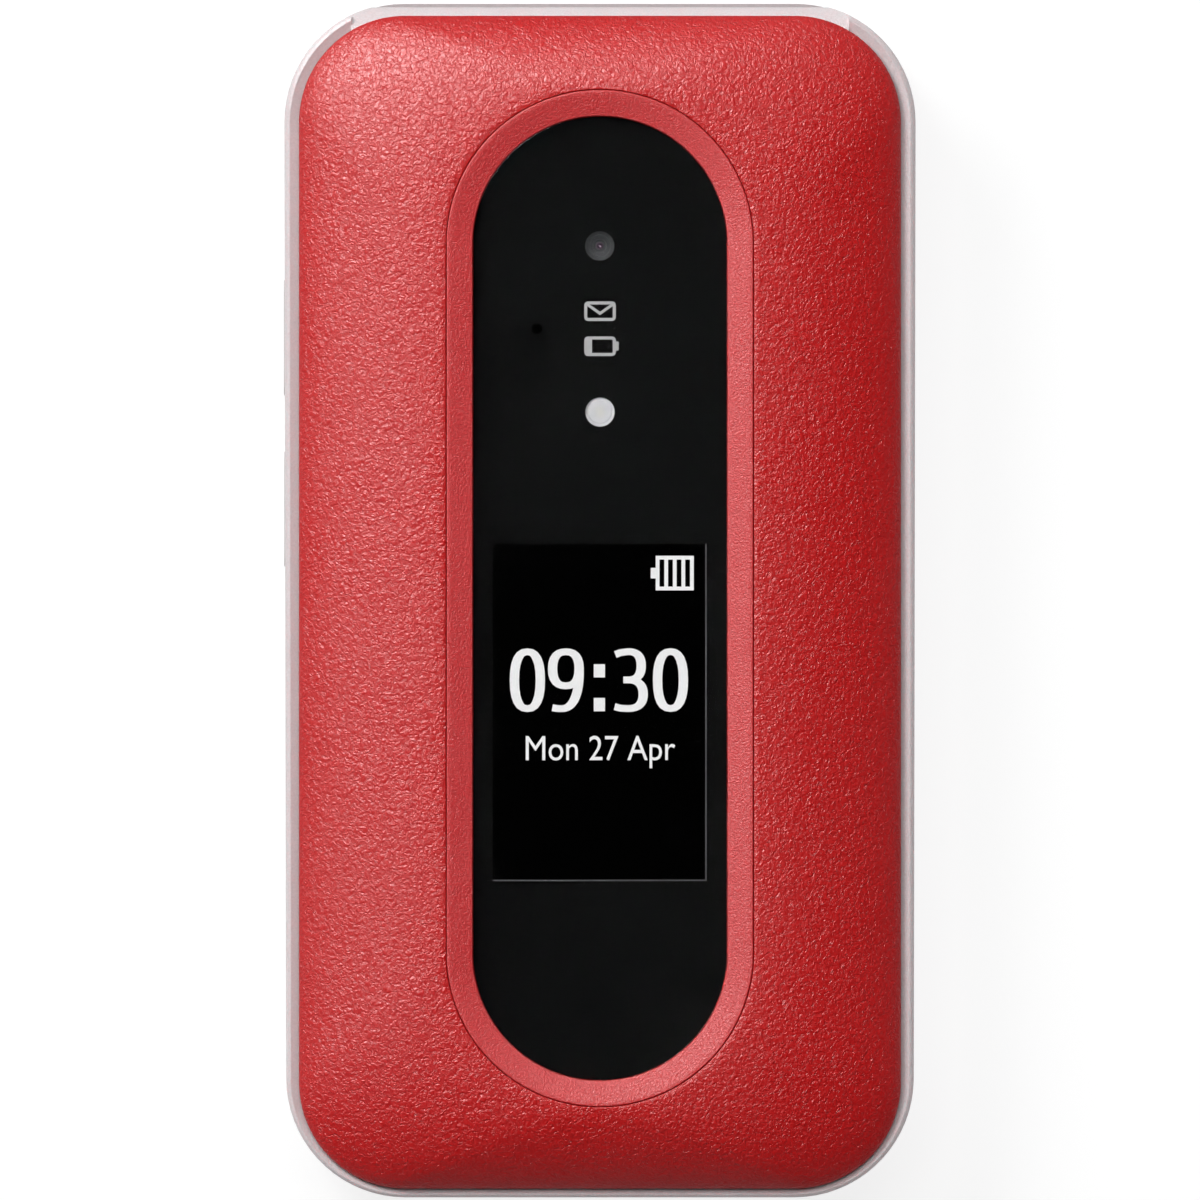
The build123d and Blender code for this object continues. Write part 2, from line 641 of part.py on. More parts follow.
# Rocker: tips up and down about its middle, with its rim free above and below
with BuildPart() as nav_rocker:
    rocker_z = mat_top + rocker_swing
    rocker_flange_t = deck_z - rocker_swing - rocker_z
    rocker_cap = panel(rocker_z, 0, ROCKER_Y, ROCKER_W, ROCKER_L, ROCKER_R)
    extrude(rocker_cap, amount=base_top + KEY_PROUD - rocker_z)
    fillet(nav_rocker.edges().group_by(Axis.Z)[-1], KEY_EDGE_R)
    rim = (ROCKER_W + 2 * KEY_FLANGE, rocker_flange_l, ROCKER_R + KEY_FLANGE)
    extrude(panel(rocker_z, 0, ROCKER_Y, *rim), amount=rocker_flange_t)
    select_opening = discs(rocker_z, SELECT_R + AIR, [(0, ROCKER_Y)])
    extrude(select_opening, amount=base_top, mode=Mode.SUBTRACT)
finish(nav_rocker, "nav_rocker")
with BuildPart() as nav_select:
    extrude(discs(flange_z, SELECT_R, [(0, ROCKER_Y)]), amount=cap_h)
    fillet(nav_select.edges().group_by(Axis.Z)[-1], KEY_EDGE_R)
finish(nav_select, "nav_select")

# Volume keys: a cap through the wall and a rim behind it
for name, y in (("volume_up_key", VOLUME_UP_Y), ("volume_down_key", VOLUME_DOWN_Y)):
    with BuildPart() as volume_key:
        wall_x = WALL - side_x(y)
        with BuildSketch(Plane.YZ.offset(-side_x(y) - VOLUME_PROUD)):
            with Locations((y, VOLUME_Z)):
                RectangleRounded(VOLUME_L, VOLUME_H, VOLUME_R)
        extrude(amount=WALL + VOLUME_PROUD + FIT)
        fillet(volume_key.edges().group_by(Axis.X)[0], VOLUME_PROUD)
        with BuildSketch(Plane.YZ.offset(wall_x + FIT)):
            with Locations((y, VOLUME_Z)):
                rim = 2 * VOLUME_FLANGE
                RectangleRounded(VOLUME_L + rim, VOLUME_H + rim, VOLUME_R + rim / 2)
        extrude(amount=FLANGE_T)
    finish(volume_key, name)

# Assistance key: sunk cap in the back, rim and stem inside
switch_z = board_z - SWITCH_T
with BuildPart() as assistance_key:
    with BuildSketch(Plane.XY.offset(ASSIST_SUNK)):
        with Locations((0, ASSIST_Y)):
            SlotOverall(ASSIST_W, ASSIST_L)
    extrude(amount=BACK_T + FIT - ASSIST_SUNK)
    fillet(assistance_key.edges().group_by(Axis.Z)[0], KEY_EDGE_R)
    with BuildSketch(Plane.XY.offset(BACK_T + FIT)):
        with Locations((0, ASSIST_Y)):
            SlotOverall(ASSIST_W + 2 * ASSIST_FLANGE, ASSIST_L + 2 * ASSIST_FLANGE)
    extrude(amount=FLANGE_T)
    stem_top = switch_z - ASSIST_TRAVEL - FIT
    extrude(discs(BACK_T, ASSIST_STEM_R, [(0, ASSIST_Y)]), amount=stem_top - BACK_T)
finish(assistance_key, "assistance_key")

with BuildPart() as tact_switches:
    extrude(plate(switch_z, 0, ASSIST_Y, SWITCH_W, SWITCH_W), amount=SWITCH_T)
    for y in (VOLUME_UP_Y, VOLUME_DOWN_Y):
        face_x = WALL + FIT + FLANGE_T + VOLUME_TRAVEL + FIT - side_x(y)
        switch_x = face_x + SWITCH_T / 2
        side_switch_z = VOLUME_Z - VOLUME_H / 2
        side_switch = plate(side_switch_z, switch_x, y, SWITCH_T, SWITCH_W)
        extrude(side_switch, amount=board_z - side_switch_z)
finish(tact_switches, "tact_switches")

with BuildPart() as battery:
    extrude(plate(battery_z, 0, battery_y, BATTERY_W, BATTERY_L), amount=BATTERY_T)
    fillet(battery.edges().filter_by(Axis.Z), BATTERY_R)
finish(battery, "battery")

with BuildPart() as battery_cover:
    extrude(panel(0, 0, door_y, DOOR_W - 2 * FIT, door_l - 2 * FIT, DOOR_R - FIT), amount=DOOR_T)
    extrude(discs(DOOR_T, PEG_R, pegs_at), amount=PEG_H)
finish(battery_cover, "battery_cover")

with BuildPart() as battery_connector:
    connector_z = board_z - CONNECTOR_T
    extrude(plate(connector_z, 0, connector_y, CONNECTOR_W, CONNECTOR_L - FIT), amount=CONNECTOR_T)
finish(battery_connector, "battery_connector")

with BuildPart() as sim_card_holder:
    sim_z = roof_z - SIM_T
    extrude(plate(sim_z, 0, sim_y, SIM_W, SIM_L), amount=SIM_T)
    slot_t = SIM_T / 2
    card_slot = plate(sim_z + slot_t / 2, 0, sim_y - SIM_WALL, SIM_W - 2 * SIM_WALL, SIM_L)
    extrude(card_slot, amount=slot_t, mode=Mode.SUBTRACT)
finish(sim_card_holder, "sim_card_holder")

with BuildPart() as speaker_mesh:
    mesh_size = (SPEAKER_W - 2 * SPEAKER_MESH_EDGE, SPEAKER_L - 2 * SPEAKER_MESH_EDGE)
    extrude(plate(BACK_T, SPEAKER_X, SPEAKER_Y, *mesh_size), amount=MESH_T)
finish(speaker_mesh, "speaker_mesh")
with BuildPart() as loudspeaker:
    speaker_z = BACK_T + MESH_T
    extrude(panel(speaker_z, SPEAKER_X, SPEAKER_Y, SPEAKER_W, SPEAKER_L, CAN_R), amount=SPEAKER_T)
finish(loudspeaker, "loudspeaker")

with BuildPart() as vibration_motor:
    extrude(discs(BACK_T, MOTOR_R, [(MOTOR_X, MOTOR_Y)]), amount=MOTOR_T)
finish(vibration_motor, "vibration_motor")

with BuildPart() as shield_cans:
    for x, y in ((TOP_CAN_X, TOP_CAN_Y), (-TOP_CAN_X, TOP_CAN_Y), (LOW_CAN_X, LOW_CAN_Y)):
        extrude(panel(board_z - CAN_H, x, y, CAN_W, CAN_L, CAN_R), amount=CAN_H)
finish(shield_cans, "shield_cans")

# USB port: metal shell round a tongue
with BuildPart() as usb_port:
    with BuildSketch(Plane.XZ.offset(LENGTH / 2 - USB_SUNK)):
        with Locations((0, usb_z)):
            RectangleRounded(USB_W, USB_H, USB_H / 2 - RUN)
    extrude(amount=-USB_L)
    with BuildSketch(Plane.XZ.offset(LENGTH / 2 - USB_SUNK)):
        with Locations((0, usb_z)):
            mouth = (USB_W - 2 * USB_SHELL, USB_H - 2 * USB_SHELL)
            RectangleRounded(*mouth, USB_H / 2 - USB_SHELL - RUN)
            Rectangle(USB_W - USB_H, USB_TONGUE_T, mode=Mode.SUBTRACT)
    extrude(amount=USB_SHELL - USB_L, mode=Mode.SUBTRACT)
finish(usb_port, "usb_port")

# Headset jack: body under the board with its nose through the wall
with BuildPart() as headset_jack:
    with BuildSketch(Plane.XZ.offset(-jack_front)):
        with Locations((JACK_X, jack_z)):
            Rectangle(JACK_W, JACK_H)
    extrude(amount=-JACK_L)
    with BuildSketch(Plane.XZ.offset(-jack_front)):
        with Locations((JACK_X, jack_z)):
            Circle(JACK_NOSE_R)
    extrude(amount=WALL + FIT)
    with BuildSketch(Plane.XZ.offset(LENGTH / 2)):
        with Locations((JACK_X, jack_z)):
            Circle(JACK_BORE_R)
    extrude(amount=-JACK_L - FIT, mode=Mode.SUBTRACT)
finish(headset_jack, "headset_jack")

with BuildPart() as base_screws:
    extrude(discs(GAP, SCREW_HEAD_R, base_screws_at), amount=SCREW_HEAD_T)
    shank_z = GAP + SCREW_HEAD_T
    extrude(discs(shank_z, SCREW_R, base_screws_at), amount=deck_z - FIT - shank_z)
finish(base_screws, "base_screws")

# Hinge ------------------------------------------------------------------------

# Shaft keyed into the right knuckle, with the cam that clicks in the cartridge
cartridge_end = barrel_x - FIT
cartridge_start = cartridge_end - CARTRIDGE_LENGTH
with BuildPart() as hinge_shaft:
    shaft_start = cartridge_start + CARTRIDGE_WALL + GAP
    extrude(hinge_disc(shaft_start, SHAFT_R), amount=pin_x - shaft_start)
    cam_x = cartridge_end - CARTRIDGE_WALL - GAP
    extrude(hinge_disc(cam_x, CAM_R), amount=-CAM_T)
finish(hinge_shaft, "hinge_shaft")

with BuildPart() as pivot_bush:
    extrude(hinge_disc(-pin_x, BUSH_R, BUSH_BORE_R), amount=BUSH_LENGTH)
finish(pivot_bush, "pivot_bush")

with BuildPart() as hinge_cartridge:
    extrude(hinge_disc(cartridge_start, CARTRIDGE_R), amount=CARTRIDGE_LENGTH)
    inner_r = CARTRIDGE_R - CARTRIDGE_WALL
    inner_l = CARTRIDGE_LENGTH - 2 * CARTRIDGE_WALL
    extrude(hinge_disc(cartridge_start + CARTRIDGE_WALL, inner_r), amount=inner_l, mode=Mode.SUBTRACT)
    extrude(hinge_disc(cartridge_end, SHAFT_R + RUN), amount=-2 * CARTRIDGE_WALL, mode=Mode.SUBTRACT)
finish(hinge_cartridge, "hinge_cartridge")

with BuildPart() as hinge_spring:
    spring_start = cartridge_start + CARTRIDGE_WALL + SPRING_WIRE_R + FIT
    with BuildLine():
        coil = Helix(
            SPRING_LENGTH / SPRING_TURNS, SPRING_LENGTH, SPRING_R,
            center=(spring_start, hinge_y, hinge_z), direction=(1, 0, 0),
        )
    with BuildSketch(Plane(origin=coil @ 0, z_dir=coil % 0)):
        Circle(SPRING_WIRE_R)
    sweep(path=coil)
finish(hinge_spring, "hinge_spring")

# Lid --------------------------------------------------------------------------

# Hinge barrel, rounded off with the casing at its ends
with BuildPart() as barrel:
    extrude(hinge_disc(-barrel_x, BARREL_R), amount=BARREL_LENGTH)
    extrude(casing(0), amount=crown_z, mode=Mode.INTERSECT)

# Lid frame: band, floor plate and hinge barrel in one moulding
with BuildPart() as lid_frame:
    shoulder_z = rim_z - SHOULDER_H
    extrude(casing(lid_z), amount=shoulder_z - lid_z)
    turns = [math.pi / 2 * n / SHOULDER_STATIONS for n in range(SHOULDER_STATIONS + 1)]
    crest = SHOULDER_W / SIDE_BAND
    edge = [(shoulder_z + SHOULDER_H * math.sin(turn), crest * (1 - math.cos(turn))) for turn in turns]
    loft([shoulder(z, share) for z, share in edge])
    loft([shoulder(foot_z, 1), shoulder(rim_z, crest)], ruled=True, mode=Mode.SUBTRACT)
    # past the axis only the barrel, with a hood over the knuckle on either side of it
    for width, height in ((WIDTH, shoulder_z - lid_z), (BARREL_LENGTH, 2 * BAND_H)):
        past_axis = plate(lid_z, 0, hinge_y + LENGTH / 2, width, LENGTH)
        extrude(past_axis, amount=height, mode=Mode.SUBTRACT)
    for side in (-1, 1):
        knuckle_room = hinge_disc(side * barrel_x, knuckle_r + AIR)
        extrude(knuckle_room, amount=side * WIDTH / 2, mode=Mode.SUBTRACT)
    extrude(casing(lid_z, BEZEL_INSET, BEZEL_END), amount=floor_z - lid_z, mode=Mode.SUBTRACT)
    extrude(casing(floor_top, POCKET_INSET, POCKET_END), amount=BAND_H, mode=Mode.SUBTRACT)
    add(barrel.part)
    bore_start = BUSH_LENGTH - pin_x + AIR
    extrude(hinge_disc(-barrel_x, BUSH_R + RUN), amount=BARREL_LENGTH, mode=Mode.SUBTRACT)
    extrude(hinge_disc(bore_start, CARTRIDGE_R + RUN), amount=BARREL_LENGTH, mode=Mode.SUBTRACT)
    # way for the flex from the pocket into the barrel
    flex_z = hinge_z + FLEX_COIL_R
    with BuildSketch(Plane.XY.offset(flex_z - AIR)):
        with Locations((0, hinge_y)):
            flex_way = (FLEX_W + 4 * AIR, hinge_y - POCKET_END + 4 * AIR)
            Rectangle(*flex_way, align=(Align.CENTER, Align.MAX))
    extrude(amount=floor_top - flex_z + AIR, mode=Mode.SUBTRACT)
    with BuildSketch(Plane.XY.offset(floor_z)):
        with Locations((0, MAIN_DISPLAY_Y)):
            Rectangle(MAIN_DISPLAY_W + 2 * FIT, MAIN_DISPLAY_L + 2 * FIT)
        with Locations((0, EARPIECE_Y)):
            SlotOverall(SLOT_W, SLOT_L)
        with Locations(*lid_screws_at):
            Circle(SCREW_R + FIT)
    extrude(amount=FLOOR_T, mode=Mode.SUBTRACT)
finish(lid_frame, "lid_frame")

with BuildPart() as inner_bezel:
    extrude(casing(lid_z, BEZEL_INSET + FIT, BEZEL_END - FIT), amount=BEZEL_T)
    with BuildSketch(Plane.XY.offset(lid_z)):
        with Locations((0, MAIN_DISPLAY_Y)):
            window_hole = (MAIN_WINDOW_W + 2 * FIT, MAIN_WINDOW_L + 2 * FIT, MAIN_WINDOW_R + FIT)
            RectangleRounded(*window_hole)
        with Locations((0, EARPIECE_Y)):
            SlotOverall(SLOT_W, SLOT_L)
        with Locations(*lid_screws_at):
            Circle(BUMPER_R + FIT)
    extrude(amount=BEZEL_T, mode=Mode.SUBTRACT)
finish(inner_bezel, "inner_bezel")

with BuildPart() as lid_screws:
    extrude(discs(floor_z - SCREW_HEAD_T, SCREW_HEAD_R, lid_screws_at), amount=SCREW_HEAD_T)
    extrude(discs(floor_z, SCREW_R, lid_screws_at), amount=FLOOR_T + BOSS_H - FIT)
finish(lid_screws, "lid_screws")

# Rubber bumpers, which plug the screw holes
with BuildPart() as lid_bumpers:
    bumper_h = BUMPER_PROUD + BEZEL_T - SCREW_HEAD_T
    extrude(discs(lid_z - BUMPER_PROUD, BUMPER_R, lid_screws_at), amount=bumper_h)
finish(lid_bumpers, "lid_bumpers")

with BuildPart() as main_window:
    window_z = floor_z - RUN - MAIN_WINDOW_T
    window = (0, MAIN_DISPLAY_Y, MAIN_WINDOW_W, MAIN_WINDOW_L, MAIN_WINDOW_R)
    extrude(panel(window_z, *window), amount=MAIN_WINDOW_T)
finish(main_window, "main_window")
with BuildPart() as main_display:
    display = plate(floor_z + FIT, 0, MAIN_DISPLAY_Y, MAIN_DISPLAY_W, MAIN_DISPLAY_L)
    extrude(display, amount=MAIN_DISPLAY_T)
finish(main_display, "main_display")

with BuildPart() as earpiece:
    extrude(panel(floor_top, 0, EARPIECE_Y, EARPIECE_W, EARPIECE_L, CAN_R), amount=EARPIECE_T)
finish(earpiece, "earpiece")
with BuildPart() as earpiece_mesh:
    with BuildSketch(Plane.XY.offset(lid_z + BEZEL_T - MESH_T)):
        with Locations((0, EARPIECE_Y)):
            SlotOverall(SLOT_W - FIT, SLOT_L - FIT)
    extrude(amount=MESH_T)
finish(earpiece_mesh, "earpiece_mesh")

with BuildPart() as lid_board:
    lid_board_y = (LID_BOARD_LOW + LID_BOARD_HIGH) / 2
    lid_board_l = LID_BOARD_HIGH - LID_BOARD_LOW
    extrude(plate(lid_board_z, 0, lid_board_y, LID_BOARD_W, lid_board_l), amount=LID_BOARD_T)
    camera_hole = plate(lid_board_z, 0, CAMERA_Y, CAMERA_W + 2 * GAP, CAMERA_W + 2 * GAP)
    extrude(camera_hole, amount=LID_BOARD_T, mode=Mode.SUBTRACT)
finish(lid_board, "lid_board")

with BuildPart() as hinge_flex:
    flex_start = lid_board_top + FLEX_T / 2
    with BuildSketch(Plane.YZ.offset(-FLEX_W / 2)):
        with BuildLine():
            bend_y = POCKET_END - 2 * AIR
            flex_end = LID_BOARD_HIGH - BOARD_EDGE
            Polyline((flex_end, flex_start), (bend_y, flex_start), (bend_y, flex_z), (hinge_y, flex_z))
            CenterArc((hinge_y, hinge_z), FLEX_COIL_R, 90, -FLEX_COIL_ANGLE)
        trace(line_width=FLEX_T)
    extrude(amount=FLEX_W)
finish(hinge_flex, "hinge_flex")

with BuildPart() as outer_display:
    display_z = window_parts_z - OUTER_DISPLAY_T
    outer_panel = plate(display_z, 0, OUTER_DISPLAY_Y, OUTER_DISPLAY_W, OUTER_DISPLAY_L)
    extrude(outer_panel, amount=OUTER_DISPLAY_T)
finish(outer_display, "outer_display")

with BuildPart() as camera_module:
    extrude(plate(lid_board_z, 0, CAMERA_Y, CAMERA_W, CAMERA_W), amount=CAMERA_BODY_T)
    barrel_h = window_parts_z - lid_board_z
    extrude(discs(lid_board_z, CAMERA_BARREL_R, [(0, CAMERA_Y)]), amount=barrel_h)
finish(camera_module, "camera_module")

with BuildPart() as flash_led:
    extrude(plate(lid_board_top, 0, FLASH_Y, FLASH_BASE_W, FLASH_BASE_W), amount=FLASH_BASE_T)
    extrude(discs(lid_board_top, FLASH_R, [(0, FLASH_Y)]), amount=window_parts_z - lid_board_top)
finish(flash_led, "flash_led")

# Outer cover: pillow-shaped skin with a seat for the window surround
with BuildPart() as outer_cover:
    cover_loft()
    extrude(cover_section(0), amount=-GROOVE_D)
    cover_loft(COVER_T, Mode.SUBTRACT)
    extrude(cover_section(0, COVER_T), amount=-GROOVE_D, mode=Mode.SUBTRACT)
    extrude(pill(seat_z - SEAT_T, -SEAT_W), amount=SEAT_T + SEAT_W)
    extrude(discs(floor_top, SCREW_R + BOSS_WALL, lid_screws_at), amount=BOSS_H)
    extrude(discs(floor_top, SCREW_R + FIT, lid_screws_at), amount=BOSS_H, mode=Mode.SUBTRACT)
    extrude(pill(seat_z), amount=COVER_RISE, mode=Mode.SUBTRACT)
    extrude(pill(rim_z, RING_RIM + RING_LIP), amount=COVER_RISE, mode=Mode.SUBTRACT)
    extrude(hinge_disc(-WIDTH / 2, BARREL_R + GAP), amount=WIDTH, mode=Mode.SUBTRACT)
finish(outer_cover, "outer_cover")

# Window surround: ring that slopes down to the glass, with a lip under it
with BuildPart() as window_surround:
    extrude(pill(seat_z, FIT), amount=crown_z - seat_z)
    loft([pill(crown_z - RING_DROP, RING_RIM), pill(crown_z, 2 * FIT)], ruled=True, mode=Mode.SUBTRACT)
    extrude(pill(seat_z + LIP_T, RING_RIM), amount=crown_z - seat_z, mode=Mode.SUBTRACT)
    extrude(pill(seat_z, RING_RIM + RING_LIP), amount=LIP_T, mode=Mode.SUBTRACT)
finish(window_surround, "window_surround")

with BuildPart() as window_lens:
    extrude(pill(lens_z, RING_RIM + FIT), amount=LENS_T)
    extrude(discs(lens_z, MIC_R, [(MIC_X, MIC_Y)]), amount=LENS_T, mode=Mode.SUBTRACT)
finish(window_lens, "window_lens")
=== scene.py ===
import bmesh
import bpy
import math
from mathutils import Matrix, Vector


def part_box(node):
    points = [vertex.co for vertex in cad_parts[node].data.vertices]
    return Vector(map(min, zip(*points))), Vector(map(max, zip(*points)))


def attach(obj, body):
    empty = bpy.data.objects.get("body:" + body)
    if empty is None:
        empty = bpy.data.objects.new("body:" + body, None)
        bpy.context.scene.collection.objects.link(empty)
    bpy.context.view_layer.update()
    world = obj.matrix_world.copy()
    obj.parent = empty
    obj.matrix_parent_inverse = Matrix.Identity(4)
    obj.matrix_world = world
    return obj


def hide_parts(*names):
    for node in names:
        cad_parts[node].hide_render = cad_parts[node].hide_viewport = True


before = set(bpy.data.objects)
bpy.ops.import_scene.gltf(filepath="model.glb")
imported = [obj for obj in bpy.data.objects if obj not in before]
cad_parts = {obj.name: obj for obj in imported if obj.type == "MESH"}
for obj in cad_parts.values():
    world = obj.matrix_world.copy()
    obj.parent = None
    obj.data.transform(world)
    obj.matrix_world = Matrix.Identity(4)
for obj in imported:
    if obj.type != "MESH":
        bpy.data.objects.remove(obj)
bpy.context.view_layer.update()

# A clamshell phone, closed and lying on its back. X runs across it, Y towards its hinge
# and Z out through the lid. Lengths are in metres, written in millimetres times MM.
MM = 0.001

# Camera: straight above the lid with a long lens, so that the sides hardly lean ------------
CAMERA_HEIGHT = 4.0
CAMERA_SPAN = 108.48 * MM  # what the picture shows, from edge to edge
SHARP_LEVEL = 12.0 * MM  # height at which the span is measured
SENSOR = 36.0
camera_lens = SENSOR * (CAMERA_HEIGHT - SHARP_LEVEL) / CAMERA_SPAN
bpy.ops.object.camera_add(location=(0, 0, CAMERA_HEIGHT), rotation=(0, 0, 0))
camera = bpy.context.object
camera.name = "overhead_camera"
camera.data.sensor_width = SENSOR
camera.data.lens = camera_lens
bpy.context.scene.camera = camera
bpy.context.scene.view_settings.view_transform = "Standard"

# Studio floor: a plain white sheet that glows a little, so that shadows stay faint.
# Its underside is clear, for looking at the back of the phone from below.
FLOOR_SIZE = 8.0
FLOOR_DROP = 0.2 * MM
FLOOR_LOOK = (0.80, 0.80, 0.80, 1)
FLOOR_GLOW = (1.1, 1.1, 1.11, 1)
FLOOR_IN_GLOSS = (0.006, 0.006, 0.006, 1)
FLOOR_MOTTLE = 3.0
FLOOR_TONES = ((0.24, 0.24, 0.24, 1), (0.26, 0.26, 0.26, 1))


def node(tree, kind, inputs=(), **fields):
    """One shader node. Inputs are values or the sockets of other nodes."""
    made = tree.nodes.new(kind)
    for field, value in fields.items():
        setattr(made, field, value)
    for socket, value in dict(inputs).items():
        if isinstance(value, bpy.types.NodeSocket):
            tree.links.new(value, made.inputs[socket])
        else:
            made.inputs[socket].default_value = value
    return made


def blend(tree, share, first, second):
    """Colour between two others."""
    colours = {0: share, 6: first, 7: second}
    return node(tree, "ShaderNodeMix", colours, data_type="RGBA").outputs[2]


def noise(tree, place, scale, detail=2.0, roughness=0.5, distortion=0.0, output="Fac"):
    """Cloudy noise read at a place."""
    grown = {"Scale": scale, "Detail": detail, "Roughness": roughness, "Distortion": distortion}
    return node(tree, "ShaderNodeTexNoise", {"Vector": place, **grown}).outputs[output]


def pick(*pieces):
    """Select these pieces only, the first of them active."""
    bpy.ops.object.select_all(action="DESELECT")
    for piece in pieces:
        piece.select_set(True)
    if pieces:
        bpy.context.view_layer.objects.active = pieces[0]


pick()
bpy.ops.mesh.primitive_plane_add(size=FLOOR_SIZE, location=(0, 0, -FLOOR_DROP))
bpy.ops.object.transform_apply(location=True)
floor = bpy.context.object
floor.name = "studio_floor"
floor_paint = bpy.data.materials.new("floor_paint")
floor_paint.use_nodes = True
tree = floor_paint.node_tree
tree.nodes.clear()
sheet_place = node(tree, "ShaderNodeTexCoord").outputs["Object"]
sheet_mottle = noise(tree, sheet_place, FLOOR_MOTTLE)
seen = node(tree, "ShaderNodeLightPath").outputs
sheet_tint = blend(tree, sheet_mottle, *FLOOR_TONES)
sheet_tint = blend(tree, seen["Is Glossy Ray"], sheet_tint, FLOOR_IN_GLOSS)
sheet_matte = node(tree, "ShaderNodeBsdfDiffuse", {"Color": sheet_tint}).outputs[0]
glow_tint = blend(tree, seen["Is Camera Ray"], FLOOR_GLOW, FLOOR_LOOK)
glow_tint = blend(tree, seen["Is Glossy Ray"], glow_tint, FLOOR_IN_GLOSS)
sheet_glow = node(tree, "ShaderNodeEmission", {"Color": glow_tint}).outputs[0]
sheet = node(tree, "ShaderNodeAddShader", {0: sheet_matte, 1: sheet_glow}).outputs[0]
underside = node(tree, "ShaderNodeNewGeometry").outputs["Backfacing"]
clear = node(tree, "ShaderNodeBsdfTransparent").outputs[0]
two_sided = node(tree, "ShaderNodeMixShader", {0: underside, 1: sheet, 2: clear}).outputs[0]
node(tree, "ShaderNodeOutputMaterial", {"Surface": two_sided})
floor.data.materials.append(floor_paint)


# Studio lights: a large soft box up and to the left with a nearer one that only gives
# highlights, a panel overhead that gives none, and a dim room that keeps flat gloss dark.
# A panel under the floor is only for the battery cover, when it is taken off downwards.
ROOM_LOOK = (0.9, 0.9, 0.91, 1)
ROOM_LIGHT = (0.006, 0.006, 0.006, 1)


def softbox(name, place, width, power, gloss=True, fill=True):
    """Area light at a place, aimed at the middle of the phone."""
    bpy.ops.object.light_add(type="AREA", location=place)
    lamp = bpy.context.object
    lamp.name = name
    lamp.data.shape = "SQUARE"
    lamp.data.size = width
    lamp.data.energy = power
    lamp.rotation_euler = (-Vector(place)).to_track_quat("-Z", "Y").to_euler()
    lamp.visible_glossy = gloss
    lamp.visible_transmission = gloss
    lamp.visible_diffuse = fill


softbox("key_softbox", (-0.60, 0.60, 0.70), 0.55, 9.0)
softbox("highlight_softbox", (-0.31, 0.41, 0.44), 0.33, 7.5, fill=False)
softbox("overhead_panel", (0.05, 0.40, 1.25), 0.8, 9.0, gloss=False)
softbox("under_panel", (0.30, 0.40, -0.90), 0.6, 7.0, gloss=False)
room = bpy.data.worlds.new("studio_room")
bpy.context.scene.world = room
room.use_nodes = True
tree = room.node_tree
tree.nodes.clear()
room_seen = node(tree, "ShaderNodeLightPath").outputs["Is Camera Ray"]
room_tint = blend(tree, room_seen, ROOM_LIGHT, ROOM_LOOK)
room_glow = node(tree, "ShaderNodeBackground", {"Color": room_tint}).outputs[0]
node(tree, "ShaderNodeOutputWorld", {"Surface": room_glow})


# Outer cover ------------
# Red pillow-shaped moulding with a leather grain. It drops over the lid frame, is held
# by four screws from inside, and has a pill-shaped opening for the window surround.
COVER_RIM_Z = 13.2 * MM
COVER_FOOT_Z = 12.83 * MM  # foot of the cover, down in the frame's groove
COVER_CORNER_R = 9.6 * MM
COVER_FULLNESS = 1.5  # exponent of the superellipse that its section follows
COVER_WALL = 1.3 * MM
COVER_RINGS = 44
RING_GAP = 0.05 * MM  # parting gap round the window surround
OPENING_EDGE = 0.10 * MM  # fine round along that gap
OUTLINE_STEPS = 28  # points on each rounded corner
cover_low, cover_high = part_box("outer_cover")
ring_low, ring_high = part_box("window_surround")
opening_x = ring_high.x + RING_GAP
opening_top = ring_high.y + RING_GAP
opening_foot = ring_low.y - RING_GAP
seat_z = ring_low.z
crown_z = cover_high.z


def outline(low_x, high_x, low_y, high_y, corner, z):
    """Points round a rounded rectangle at height z, anticlockwise."""
    centres = [
        (high_x - corner, high_y - corner), (low_x + corner, high_y - corner),
        (low_x + corner, low_y + corner), (high_x - corner, low_y + corner),
    ]
    points = []
    for quarter, (x, y) in enumerate(centres):
        for step in range(OUTLINE_STEPS):
            angle = math.pi / 2 * (quarter + (step + 0.5) / OUTLINE_STEPS)
            points.append((x + corner * math.cos(angle), y + corner * math.sin(angle), z))
    return points


def smooth(piece, angle=32):
    """Outward normals, and smooth shading across edges blunter than the angle."""
    pick(piece)
    bpy.ops.object.mode_set(mode="EDIT")
    bpy.ops.mesh.select_all(action="SELECT")
    bpy.ops.mesh.normals_make_consistent(inside=False)
    bpy.ops.object.mode_set(mode="OBJECT")
    bpy.ops.object.shade_smooth_by_angle(angle=math.radians(angle))


def skin(name, rings, closed=False):
    """Mesh through a stack of rings, joined end to end if closed and capped if not."""
    count = len(rings[0])
    points = [point for ring in rings for point in ring]
    faces = []
    pairs = len(rings) if closed else len(rings) - 1
    for level in range(pairs):
        here, above = level * count, (level + 1) % len(rings) * count
        for step in range(count):
            after = (step + 1) % count
            faces.append((here + step, here + after, above + after, above + step))
    if not closed:
        faces.append(tuple(reversed(range(count))))
        faces.append(tuple(range(len(points) - count, len(points))))
    mesh = bpy.data.meshes.new(name)
    mesh.from_pydata(points, [], faces)
    piece = bpy.data.objects.new(name, mesh)
    bpy.context.scene.collection.objects.link(piece)
    smooth(piece)
    return piece


